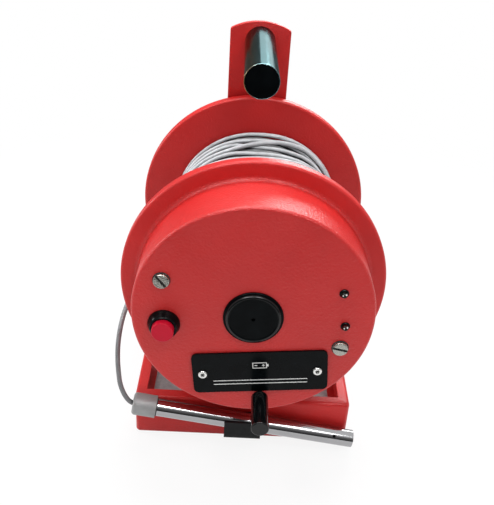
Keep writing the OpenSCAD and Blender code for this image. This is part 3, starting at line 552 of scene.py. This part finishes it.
def wound_painted_shade(tree):
    """Painted shade on the turns below: a factor that falls from one on the outer turns to a third on the turns below,
    by distance from the axle.
    """
    sizes = bpy.context.scene.meter_cable
    outer = sizes.first_radius + 2 * sizes.layer_step
    spoke = vector(tree, "SUBTRACT", {0: own_place(tree), 1: AXLE})
    flat = vector(tree, "MULTIPLY", {0: spoke, 1: (1, 0, 1)})
    return between(tree, vector(tree, "LENGTH", {0: flat}, "Value"), outer - 2.2 * MM, outer + 1.2 * MM, 0.34)


def tail_painted_shade(tree):
    """Painted shade along the free end: a factor that falls from one at the winding to a third past the front flange.
    """
    return between(tree, own_place(tree, "Y"), -16 * MM, -62 * MM, 1, 0.36)


def cable_jacket(name="cable_jacket", painted_shade=wound_painted_shade):
    """Grey cable jacket: smooth, with faint handling marks, and painted shade from the given factor and in the gaps
    between turns.
    """
    material, tree, shader = new_finish(name)
    if tree:
        grey = bpy.context.scene.meter_looks.cable
        tone = ramp(tree, grain(tree, 120, 4), shaded(grey, 0.9), shaded(grey, 1.2))
        # Painted shade in the gaps between turns, from how closed in each point is
        gap_shade = node(tree, "AmbientOcclusion", {"Distance": 0.004}, samples=8).outputs["AO"]
        for factor in (painted_shade(tree), spread(tree, gap_shade, -0.2, 1.06)):
            tone = vector(tree, "SCALE", {0: tone, "Scale": factor})
        feed(tree, shader, {"Base Color": tone, "Roughness": spread(tree, grain(tree, 300), 0.36, 0.5)})
        relief(tree, shader, grain(tree, 1400, 2), 0.00002)
    return material


# Pieces

# Segments round the flanges and the housing
SEGMENTS = 216


class METER_OT_base(bpy.types.Operator):
    """Base frame: a folded channel section carried round a rectangle with rounded corners."""

    bl_idname = "meter.base"
    bl_label = "Base frame"

    def execute(self, context):
        sizes = context.scene.meter_frame
        height = BASE_HIGH.z - BASE_LOW.z
        lip, sheet, fold, cut = sizes.lip, sizes.sheet, sizes.fold, 0.6 * MM
        # Distance inwards, height and rounding
        section = rounded([
            (lip, 0, cut), (0, 0, fold), (0, height, fold), (lip, height, cut), (lip, height - sheet, cut),
            (sheet, height - sheet, fold - sheet), (sheet, sheet, fold - sheet), (lip, sheet, cut)], 5, loop=True)
        inward = section[:, None, 0]
        bend = np.linspace(0, np.pi / 2, 7)
        angle = np.concatenate([bend + quarter * np.pi / 2 for quarter in range(4)])
        sign_x = np.repeat([1, -1, -1, 1], len(bend))
        sign_y = np.repeat([1, 1, -1, -1], len(bend))
        reach = np.maximum(sizes.corner, inward)
        radius = np.maximum(sizes.corner - inward, 0)
        x = sign_x * (BASE_HIGH.x - reach) + radius * np.cos(angle)
        y = sign_y * (BASE_HIGH.y - reach) + radius * np.sin(angle)
        z = np.broadcast_to(section[:, 1:] + BASE_LOW.z, x.shape)
        surface = shell(np.stack([x, y, z], -1), close_rows=True)
        add_piece("base_channel", surface, "stand", red_enamel(), ["base_frame"], sharp=35)
        return {"FINISHED"}


class METER_OT_upright(bpy.types.Operator):
    """Upright: a flat bar whose arched top meets its sides in two small corners."""

    bl_idname = "meter.upright"
    bl_label = "Upright and its screws"

    def execute(self, context):
        sizes = context.scene.meter_frame
        half, radius, corner = UPRIGHT_HIGH.x, sizes.arch, 2.8 * MM
        # The arch ends short of the sides, so that the corners have room
        span = math.asin(half / radius) * 0.93
        angle = np.linspace(span, -span, 31)
        arch = np.stack([radius * np.sin(angle), UPRIGHT_HIGH.z - radius + radius * np.cos(angle)], -1)
        shoulder = UPRIGHT_HIGH.z - radius + math.sqrt(radius ** 2 - half ** 2) - 0.2 * MM
        side = rounded([(half, UPRIGHT_LOW.z, 0), (half, shoulder, corner), (*arch[0], 0)], 6)
        outline = np.vstack([side[:-1], arch, (side[:-1] * [-1, 1])[::-1]])
        surface = plate(outline, UPRIGHT_LOW.y, UPRIGHT_HIGH.y, sizes.edge)
        add_piece("upright_bar", surface, "stand", red_enamel(), ["back_upright"], sharp=50)
        dress("upright_screws upright_nuts handle_insert handle_bolt axle axle_rear_washer axle_rear_nut "
              "axle_front_washer axle_front_nut", zinc_plate())
        return {"FINISHED"}


class METER_OT_handle(bpy.types.Operator):
    """Handle: the plated tube, its bright rolled lip and its black end plug."""

    bl_idname = "meter.handle"
    bl_label = "Handle tube"

    def execute(self, context):
        dress("handle_tube", plated_tube())
        dress("handle_end_plug", black_moulding("plug_moulding", 0.0))
        low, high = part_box("handle_end_plug")
        radius = (high.x - low.x) / 2
        inner, outer, front, back = radius - 0.6 * MM, radius + 0.02 * MM, -0.02 * MM, 2.6 * MM
        lip = rounded([(inner, front, 0.2 * MM), (outer, front, 0.4 * MM), (outer, back, 0), (inner, back, 0)],
                      6, loop=True)
        surface = revolved(lip, ((low.x + high.x) / 2, low.y, (low.z + high.z) / 2), loop=True)
        add_piece("tube_lip", surface, "stand", plated_tube(), sharp=50)
        return {"FINISHED"}


class METER_OT_flanges(bpy.types.Operator):
    """Flanges: a flat disc profile whose rim turns back in a quarter circle, revolved about the axle."""

    bl_idname = "meter.flanges"
    bl_label = "Flanges and drum"

    def execute(self, context):
        sizes = context.scene.meter_reel
        fold, sheet, cut, bore = sizes.rim_fold, sizes.sheet, 0.7 * MM, 16.2 * MM
        inside = FLANGE_R - sheet
        for part, low, high in (("front_flange", FLANGE_LOW, FLANGE_HIGH), ("rear_flange", REAR_LOW, REAR_HIGH)):
            depth = high.y - low.y
            profile = rounded([
                (bore, 0, 0), (FLANGE_R, 0, fold), (FLANGE_R, depth, cut), (inside, depth, cut),
                (inside, sheet, fold - sheet), (bore, sheet, 0)], 8, loop=True)
            surface = revolved(profile, (AXLE.x, low.y, AXLE.z), segments=SEGMENTS, loop=True)
            add_piece(part + "_spun", surface, "reel", red_enamel(), [part], sharp=50)
        dress("drum_core", red_enamel())
        dress("rear_hub front_hub tie_bolts tie_nuts", zinc_plate())
        dress("rear_bush front_bush",
              metal("sintered_bronze", (0.48, 0.32, 0.14), 0.35, 0.5, scale=1200, depth=0.00001))
        dress("drum_grommet housing_grommet housing_seals", soft_rubber())
        return {"FINISHED"}


# Slotted screws on the unturned reel: distance and angle from the axle, angle of the slot, in millimetres and degrees
SLOTTED_SCREWS = ((76.9, 151.3, 124), (74.4, -24.9, -17))
SLOT_LENGTH, SLOT_WIDTH, SLOT_DEPTH = 11.6, 1.9, 1.5
# Cross-recess screws on the unturned reel: x and z from the axle
CROSS_SCREWS = ((-42.85, -52.6), (49.65, -52.6))
CROSS_LENGTH, CROSS_WIDTH, CROSS_ANGLE = 3.6, 0.8, 28


class METER_OT_housing(bpy.types.Operator):
    """Alarm housing: a deep cap profile revolved about the axle, with a filled joint at the flange."""

    bl_idname = "meter.housing"
    bl_label = "Alarm housing"

    def execute(self, context):
        sizes = context.scene.meter_reel
        depth = SHELL_HIGH.y - SHELL_LOW.y
        sheet, edge, reach = sizes.sheet, sizes.face_edge, sizes.fillet
        inside, foot = HOUSING_R - sheet, HOUSING_R - 0.2 * MM
        profile = rounded([(0, 0, 0), (HOUSING_R, 0, edge), (HOUSING_R, depth, 0), (inside, depth, 0),
                           (inside, sheet, edge - sheet), (0, sheet, 0)], 8)
        surface = revolved(profile, (AXLE.x, SHELL_LOW.y, AXLE.z), segments=SEGMENTS)
        orange_peel = red_enamel("housing_enamel", 0.0006, 0.42)
        add_piece("housing_cap", surface, "reel", orange_peel, ["housing_shell"], sharp=50)
        # The joint's hollow takes nearly all of its reach, and its feet sink in a little
        hollow = rounded([(foot, -reach, 0), (HOUSING_R + 0.1 * MM, -0.1 * MM, reach * 0.96),
                          (HOUSING_R + reach, 0, 0), (foot, 0, 0)], 10)
        surface = revolved(hollow, (AXLE.x, FLANGE_LOW.y, AXLE.z), segments=SEGMENTS, loop=True)
        add_piece("housing_joint", surface, "reel", orange_peel, sharp=60)
        dress("housing_posts board_spacers crank_pin_boss button_nut buzzer_nut", zinc_plate())
        dress("housing_screw_left housing_screw_right",
              metal("nickel_screws", (0.42, 0.42, 0.38), 0.14, 0.40, scale=620, depth=0.0003))
        dress("cover_screw_left cover_screw_right", metal("bright_screws", (0.82, 0.82, 0.80), 0.16, 0.28))
        # Dark bars at the slot floors: painted shade in the slots
        slots = [(distance * math.cos(math.radians(angle)), distance * math.sin(math.radians(angle)),
                  SLOT_LENGTH, SLOT_WIDTH, turn) for distance, angle, turn in SLOTTED_SCREWS]
        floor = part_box("housing_screw_left")[0].y + SLOT_DEPTH * MM
        surface = flat_bars(slots, floor - 0.3 * MM, floor + 0.01 * MM)
        add_piece("slot_painted_shade", surface, "reel", soft_rubber())
        # Dark crosses in the cross recesses: painted shade in the recesses
        crosses = [(*place, *bar, CROSS_ANGLE) for place in CROSS_SCREWS
                   for bar in ((CROSS_LENGTH, CROSS_WIDTH), (CROSS_WIDTH, CROSS_LENGTH))]
        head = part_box("cover_screw_left")[0].y
        surface = flat_bars(crosses, head - 0.01 * MM, head + 0.3 * MM)
        add_piece("cross_painted_shade", surface, "reel", soft_rubber())
        return {"FINISHED"}


class METER_OT_face(bpy.types.Operator):
    """Face parts: push button, buzzer, signal lamps and what lies behind them."""

    bl_idname = "meter.face"
    bl_label = "Button, buzzer and lamps"

    def execute(self, context):
        red = context.scene.meter_looks.button
        dress("button_collar lamp_holder_upper lamp_holder_lower", black_moulding("collar_moulding", 0.08))
        low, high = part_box("buzzer_case")
        radius = (high.x - low.x) / 2 / MM
        # Radius and depth behind the front, in millimetres, with the rounding of each corner
        cap = [(1.5, 0.5, 0), (18.6, 0.5, 0.2), (19.2, 0, 0.3), (21.4, 0, 1.6), (21.7, 1.7, 0.4), (radius, 2.0, 0.8),
               (radius, 3.5, 0), (20.5, 3.5, 0), (20.5, 16.5, 0), (18.9, 16.5, 0), (18.9, 3.5, 0), (1.5, 3.5, 0)]
        rim = [(19.4, 0.02, 0), (19.8, -0.02, 0.2), (21.42, -0.02, 1.6), (21.72, 1.72, 0), (19.4, 1.72, 0)]
        for name, section, finish, hides in (
                ("buzzer_cap", cap, black_moulding(), ["buzzer_case"]),
                ("buzzer_rim", rim, black_moulding("polished_moulding", 0.35), ())):
            surface = revolved(rounded(np.array(section) * MM, 8, loop=True), (AXLE.x, low.y, AXLE.z), loop=True)
            add_piece(name, surface, "reel", finish, hides, sharp=50)
        # A dark disc behind the buzzer's hole
        wide, thick = 4 * MM, 0.1 * MM
        shade = revolved([(0, 0), (wide, 0), (wide, thick), (0, thick)], (AXLE.x, SHELL_LOW.y - 0.2 * MM, AXLE.z))
        add_piece("sounder_shade", shade, "reel", matte_moulding())
        dress("button_cap", moulded("button_red", shaded(red, 0.92), red, 0.3, 200, gloss=0.15))
        dress("buzzer_element", metal("sounder_brass", (0.62, 0.44, 0.16), 0.25, 0.35))
        dress("lamp_green", lamp_glass("green_resin", (0.0015, 0.006, 0.003), "lamp_green"))
        dress("lamp_red", lamp_glass("red_resin", (0.022, 0.001, 0.0012), "lamp_red"))
        dress("circuit_board", moulded("green_laminate", (0.01, 0.09, 0.03), (0.02, 0.12, 0.04), 0.4))
        return {"FINISHED"}


class METER_OT_battery(bpy.types.Operator):
    """Battery cover: the black plate with a battery sign and two plain lines printed in white."""

    bl_idname = "meter.battery"
    bl_label = "Battery cover"

    def execute(self, context):
        dress("battery_cover", black_moulding("engraving_laminate", 0.08))
        dress("battery_tray", matte_moulding())
        dress("battery", moulded("battery_jacket", (0.03, 0.032, 0.035), (0.05, 0.052, 0.055), 0.35))
        # The sign's middle, size and line width, and the length of its plus and minus
        x, z, wide, high, line, sign = 3.4, -45.6, 11, 5.2, 0.7, 2.2
        bars = [(x, z + high / 2, wide, line, 0), (x, z - high / 2, wide, line, 0),
                (x + wide / 2, z, line, high + line, 0), (x - wide / 2, z, line, high + line, 0),
                (x + wide / 2 + 1, z, 1.2, 2.4, 0), (x + 3, z, sign, line, 0), (x + 3, z, line, sign, 0),
                (x - 3, z, sign, line, 0), (x, -60.4, 76, 0.8, 0), (x, -63.9, 76, 0.8, 0)]
        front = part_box("battery_cover")[0].y
        surface = flat_bars(bars, front - 0.04 * MM, front + 0.01 * MM)
        white_ink = moulded("white_ink", (0.62, 0.63, 0.62), (0.78, 0.79, 0.78), 0.5, 900, 0.000004)
        add_piece("cover_print", surface, "reel", white_ink)
        return {"FINISHED"}


class METER_OT_crank(bpy.types.Operator):
    """Crank knob on its pin."""

    bl_idname = "meter.crank"
    bl_label = "Crank knob"

    def execute(self, context):
        dress("crank_knob knob_cap", black_moulding("polished_moulding", 0.35))
        dress("crank_pin", blackened_steel())
        return {"FINISHED"}


# Probe at rest: its tilt in degrees, the cap's free end, length and radius, and the joint ring, in millimetres
PROBE_TILT = 8.85
CAP_END = (-96.2, -101.0, 43.6)
CAP_LENGTH, CAP_R = 20.6, 9.7
RING_LENGTH, RING_INNER_R, RING_OUTER_R = 0.9, 7.6, 8.1


class METER_OT_probe(bpy.types.Operator):
    """Probe: ground steel body and grey cable cap in the black clip, with a dark joint ring between them."""

    bl_idname = "meter.probe"
    bl_label = "Probe and clip"

    def execute(self, context):
        dress("probe_body probe_electrode",
              metal("ground_steel", (0.40, 0.40, 0.41), 0.06, 0.14, (12, 1, 1), 260))
        dress("probe_insulator", moulded("white_insulator", (0.8, 0.8, 0.78), (0.86, 0.86, 0.84), 0.4))
        dress("probe_clip", matte_moulding())
        dress("clip_screw_left clip_screw_right", blackened_steel())
        tilt = math.radians(PROBE_TILT)
        along = np.array([math.cos(tilt), 0, -math.sin(tilt)])
        start = np.array(CAP_END) * MM
        cap = [(0, 0, 0), (CAP_R, 0, 2.8), (CAP_R, CAP_LENGTH, 0.5), (0, CAP_LENGTH, 0)]
        surface = revolved(rounded(np.array(cap) * MM, 10), start, along, 96)
        grey_cap = moulded("grey_cap", (0.255, 0.265, 0.265), (0.305, 0.315, 0.315), 0.42)
        add_piece("cable_cap", surface, "stand", grey_cap, ["probe_cap"], sharp=50)
        ring = [(RING_INNER_R, 0, 0), (RING_OUTER_R, 0, 0.2), (RING_OUTER_R, RING_LENGTH, 0.2),
                (RING_INNER_R, RING_LENGTH, 0)]
        surface = revolved(rounded(np.array(ring) * MM, 4, loop=True), start + along * CAP_LENGTH * MM, along, 96,
                           loop=True)
        add_piece("probe_joint", surface, "stand", soft_rubber())
        return {"FINISHED"}


# Loose outer turns as laid by hand, from the rear flange forwards: distance along the axle and extra radius,
# in millimetres, where each turn passes these angles from the top, right to left
LOOSE_ANGLES = (60, 40, 20, 0, -20, -40, -60)
LEVEL = (0,) * len(LOOSE_ANGLES)
LOOSE_PLACES = (
    (73.2,) * len(LOOSE_ANGLES),
    (69, 67.5, 62, 57, 59, 62, 64),
    (68, 67, 57, 44, 40, 44, 48),
    (63, 58, 45, 43, 51, 53, 54),
    (58, 43, 30, 24, 31, 34, 34),
    (48, 38, 22, 14, 17, 26, 30),
    (20, 14, 8, 4, 3, 4, 4),
    (0, -4, -8, -11, -14, -16, -17),
)
LOOSE_RISES = (
    (5, 4, 2.2, 0, 0, 0, 0.2),
    (0.5, 0, 0, 0, 0, 0, 0),
    (4.6, 4.4, 3.6, 2.4, 0.4, 0, 0),
    (0.6, 0, 0, -1.6, 0, 0, 0),
    LEVEL,
    LEVEL,
    LEVEL,
    (0, 0, 0, 0, 0.2, 1.8, 5.54),
)
# Angle from the top at which the last turn leaves the winding, in degrees to the left
TAIL_ANGLE = 62.3


def taken_over(left, steepness):
    """A share that rises from zero to one as what is left falls through zero: 1 / (1 + e ** (steepness * left))."""
    return 1 / (1 + np.exp(np.clip(left * steepness, -60, 60)))


class METER_OT_winding(bpy.types.Operator):
    """Wound cable: two tight layers run to and fro along the drum as helices, then loose turns lie over them."""

    bl_idname = "meter.winding"
    bl_label = "Wound cable"

    def execute(self, context):
        sizes = context.scene.meter_cable
        thick, turns = sizes.diameter, sizes.tight_turns
        rear = REAR_LOW.y - sizes.margin
        front = FLANGE_LOW.y + context.scene.meter_reel.sheet + sizes.margin
        start_angle, points_per_turn = LOOSE_ANGLES[0], 72
        # The turn count runs on through both tight layers and the loose turns
        full = 2 * turns
        last = full + len(LOOSE_PLACES) - 1 + (start_angle + TAIL_ANGLE) / 360
        count = np.append(np.arange(0, last - 0.5 / points_per_turn, 1 / points_per_turn), last)
        tight_y = front + (rear - front) * np.abs((count / turns) % 2 - 1)
        tight_r = sizes.first_radius + sizes.layer_step * taken_over(turns - count, 6)
        knot = np.concatenate([full + i + (start_angle - np.array(LOOSE_ANGLES)) / 360
                               for i in range(len(LOOSE_PLACES))])
        knot[-1] = last
        loose_y, loose_r = (smooth_through(knot, np.ravel(rows) * MM, np.maximum(count, full), steady=True)
                            for rows in (LOOSE_PLACES, LOOSE_RISES))
        # The loose turns take over a third of a turn before the tight ones end
        climb = taken_over(full - 0.35 - count, 14)
        # The tight turns waver a little, 0.37 times a turn
        waver = 0.25 * MM * np.sin(count * 2 * np.pi * 0.37)
        y = tight_y * (1 - climb) + loose_y * climb + waver * (1 - climb)
        radius = tight_r * (1 - climb) + climb * (sizes.first_radius + 2 * sizes.layer_step + loose_r)
        angle = math.radians(start_angle) - 2 * np.pi * count
        path = np.stack([AXLE.x + radius * np.sin(angle), y, AXLE.z + radius * np.cos(angle)], -1)
        surface = shell(tube_rings(path, thick / 2, 10), caps=True)
        piece = add_piece("wound_cable", surface, "reel", cable_jacket(), ["cable_winding"], sharp=70)
        return {"FINISHED"}


# The free end's route, as in the construction, in millimetres
TAIL_ROUTE = (
    (-68.9, -17, 193.5), (-76.4, -20, 180), (-83.4, -24, 166), (-89.9, -30, 152),
    (-95.9, -38, 139.5), (-101.4, -48, 128), (-105.4, -60, 118.5), (-107.9, -70, 111),
    (-109.4, -79, 102), (-109.9, -86, 92.5), (-109.4, -92, 83), (-108.4, -96, 73.5),
    (-106.9, -99, 63.5), (-103.9, -100.5, 54), (-99.9, -101, 46.8), (-96.25, -101, 43.7),
)


class METER_OT_tail(bpy.types.Operator):
    """Free end of the cable: a smooth curve from the winding, past the flange, down to the probe's cap."""

    bl_idname = "meter.tail"
    bl_label = "Free end of the cable"

    def execute(self, context):
        thick = context.scene.meter_cable.diameter
        route = np.array(TAIL_ROUTE) * MM
        knots = np.arange(len(route))
        at = np.linspace(0, len(route) - 1, (len(route) - 1) * 8 + 1)
        path = np.stack([smooth_through(knots, route[:, k], at) for k in range(3)], -1)
        surface = shell(tube_rings(path, thick / 2, 16), caps=True)
        # Painted shade darkens the free end past the front flange
        shaded_tail = cable_jacket("shaded_tail_jacket", tail_painted_shade)
        piece = add_piece("free_cable", surface, "stand", shaded_tail, ["cable_tail"], sharp=70)
        return {"FINISHED"}


# Stage

def soft_lamp(name, place, wide, high, power):
    """A flat lamp at a place, turned to face the middle of the reel."""
    light = bpy.data.lights.new(name, "AREA")
    light.shape = "RECTANGLE"
    light.size = wide
    light.size_y = high
    light.energy = power
    lamp = bpy.data.objects.new(name, light)
    lamp.location = place
    lamp.rotation_euler = (Vector((0, 0, 0.15)) - Vector(place)).to_track_quat("-Z", "Y").to_euler()
    bpy.context.scene.collection.objects.link(lamp)


def stage_sheet(name, corners, material, unseen_by=()):
    """A flat four-cornered sheet of the stage, left out for the rays that are named."""
    mesh = bpy.data.meshes.new(name)
    mesh.from_pydata(corners, [], [(0, 1, 2, 3)])
    mesh.materials.append(material)
    sheet = bpy.data.objects.new(name, mesh)
    bpy.context.scene.collection.objects.link(sheet)
    for ray in unseen_by:
        setattr(sheet, "visible_" + ray, False)


def level_corners(x, y, z):
    """Corners of a level rectangle round the middle, from its half sizes and its height."""
    return [(-x, -y, z), (x, -y, z), (x, y, z), (-x, y, z)]


def gloss_card(name, near, far, low_tone, high_tone, left=-2.5, right=2.5):
    """A card across the room from its near edge (y, z) to its far one, seen only in glossy parts.

    Its tone runs from the low to the high one between the floor and 1.5 m up."""
    material, tree = blank_material(name)
    tone = between(tree, own_place(tree, "Z"), 0, 1.5, low_tone, high_tone)
    grey = node(tree, "Emission", {"Strength": tone})
    node(tree, "OutputMaterial", {"Surface": grey.outputs[0]})
    stage_sheet(name, [(left, *near), (right, *near), (right, *far), (left, *far)], material,
                ("camera", "diffuse", "transmission", "volume_scatter", "shadow"))


def seen_directly(tree):
    """One for what the camera sees directly, in a gloss or through glass, zero for soft light."""
    rays = node(tree, "LightPath").outputs
    total = rays["Is Camera Ray"]
    for name in ("Is Glossy Ray", "Is Transmission Ray"):
        total = scalar(tree, "MAXIMUM", total, rays[name])
    return total


def finish_as_mix(tree, kind, share, first, second):
    """Ends a tree in an output of that kind, which goes from the first shader to the second with the share."""
    mix = node(tree, "MixShader", {"Fac": share, 1: first.outputs[0], 2: second.outputs[0]})
    node(tree, kind, {"Surface": mix.outputs[0]})


def floor_finish():
    """Pale floor that is seen as white, and keeps part of the object's shadow near the object."""
    material, tree = blank_material("pale_floor")
    matte = node(tree, "BsdfDiffuse", {"Color": (0.86, 0.86, 0.86, 1)})
    white = node(tree, "Emission")
    fade = between(tree, vector(tree, "LENGTH", {0: own_place(tree)}, "Value"), 0.2, 0.7, 0.88)
    finish_as_mix(tree, "OutputMaterial", scalar(tree, "MULTIPLY", seen_directly(tree), fade), matte, white)
    return material


class METER_OT_stage(bpy.types.Operator):
    """Stage: camera at the fitted place, pale floor, white room, five soft lamps and cards that show in gloss."""

    bl_idname = "meter.stage"
    bl_label = "Stage"

    def execute(self, context):
        scene = context.scene
        stage = scene.meter_stage
        scene.view_settings.view_transform = "Standard"
        world = scene.world = bpy.data.worlds.new("white_room")
        world.use_nodes = True
        tree = world.node_tree
        tree.nodes.clear()
        room = node(tree, "Background", {"Color": (1, 1, 1, 1), "Strength": stage.sky})
        white = node(tree, "Background", {"Color": (1, 1, 1, 1)})
        finish_as_mix(tree, "OutputWorld", seen_directly(tree), room, white)

        stage_sheet("floor", level_corners(3, 3, 0), floor_finish())
        # Grey sheet inside the base frame: a grey floor with painted shade from the reel
        lap = 6.5 * MM
        painted_floor_shade = moulded("painted_floor_shade", (0.30, 0.29, 0.30), (0.40, 0.39, 0.39), 0.6, 240)
        stage_sheet("floor_shade_sheet", level_corners(BASE_HIGH.x - lap, BASE_HIGH.y - lap, 0.3 * MM), painted_floor_shade)

        soft_lamp("back_lamp", (0.42, 1.12, 0.80), 0.45, 0.30, stage.back_power)
        soft_lamp("side_lamp", (-1.22, 0.31, 0.48), 0.30, 0.30, stage.side_power)
        soft_lamp("top_lamp", (0.0, 0.30, 1.40), 0.60, 0.50, stage.top_power)
        soft_lamp("right_lamp", (0.42, -0.70, 1.35), 0.50, 0.30, stage.front_power)
        soft_lamp("left_lamp", (-0.62, -0.35, 1.35), 0.35, 0.30, stage.front_power * 0.8)
        gloss_card("front_card", (-1.6, 0), (-1.6, 1.5), 0.02, 0.35)
        gloss_card("floor_card", (-1.6, 0.002), (-0.42, 0.002), 0.0, 0.0)
        gloss_card("back_card", (1.7, 0), (1.7, 1.5), 0.20, 0.30)
        gloss_card("low_card", (0.62, 0), (0.62, 0.35), 0.15, 0.30)
        gloss_card("window_card", (1.5, 0.3), (1.5, 1.25), 3.0, 3.0, -0.06, 1.0)
        for name, left, right in (("left_strip", -0.9, -0.08), ("right_strip", 0.1, 0.5)):
            gloss_card(name, (-0.95, 1.35), (-0.65, 1.55), 16.0, 16.0, left, right)

        sight = bpy.data.cameras.new("camera")
        sight.sensor_width = 36
        sight.lens = stage.lens
        sight.clip_start = 0.01
        camera = bpy.data.objects.new("camera", sight)
        yaw, pitch, roll = stage.yaw, stage.pitch, stage.roll
        ahead = Vector((math.sin(yaw) * math.cos(pitch), math.cos(yaw) * math.cos(pitch), -math.sin(pitch)))
        right = Vector((math.cos(yaw), -math.sin(yaw), 0))
        up = right.cross(ahead)
        rolled_right = right * math.cos(roll) + up * math.sin(roll)
        rolled_up = up * math.cos(roll) - right * math.sin(roll)
        turn = Matrix((rolled_right, rolled_up, -ahead)).transposed().to_4x4()
        camera.matrix_world = Matrix.Translation(stage.camera) @ turn
        scene.collection.objects.link(camera)
        scene.camera = camera
        return {"FINISHED"}


class METER_PT_panel(bpy.types.Panel):
    """Lists the meter's steps and sizes in the sidebar."""

    bl_idname = "METER_PT_panel"
    bl_label = "Water level meter"
    bl_space_type = "VIEW_3D"
    bl_region_type = "UI"
    bl_category = "Meter"

    def draw(self, context):
        for step in STEPS:
            self.layout.operator(step.bl_idname)
        for name, group in GROUPS.items():
            box = self.layout.box()
            for prop in group.__annotations__:
                box.prop(getattr(context.scene, name), prop)


STEPS = (METER_OT_stage, METER_OT_winding, METER_OT_tail, METER_OT_base, METER_OT_upright, METER_OT_handle,
         METER_OT_flanges, METER_OT_housing, METER_OT_face, METER_OT_battery, METER_OT_crank, METER_OT_probe)


def register():
    """Registers the settings, the steps and the panel."""
    for group in GROUPS.values():
        bpy.utils.register_class(group)
    for name, group in GROUPS.items():
        setattr(bpy.types.Scene, name, PointerProperty(type=group))
    for step in STEPS:
        bpy.utils.register_class(step)
    bpy.utils.register_class(METER_PT_panel)


def unregister():
    """Takes the panel, the steps and the settings away again."""
    bpy.utils.unregister_class(METER_PT_panel)
    for step in reversed(STEPS):
        bpy.utils.unregister_class(step)
    for name, group in GROUPS.items():
        delattr(bpy.types.Scene, name)
        bpy.utils.unregister_class(group)


def main():
    register()
    for step in STEPS:
        section, name = step.bl_idname.split(".")
        getattr(getattr(bpy.ops, section), name)()


if __name__ == "__main__":
    main()
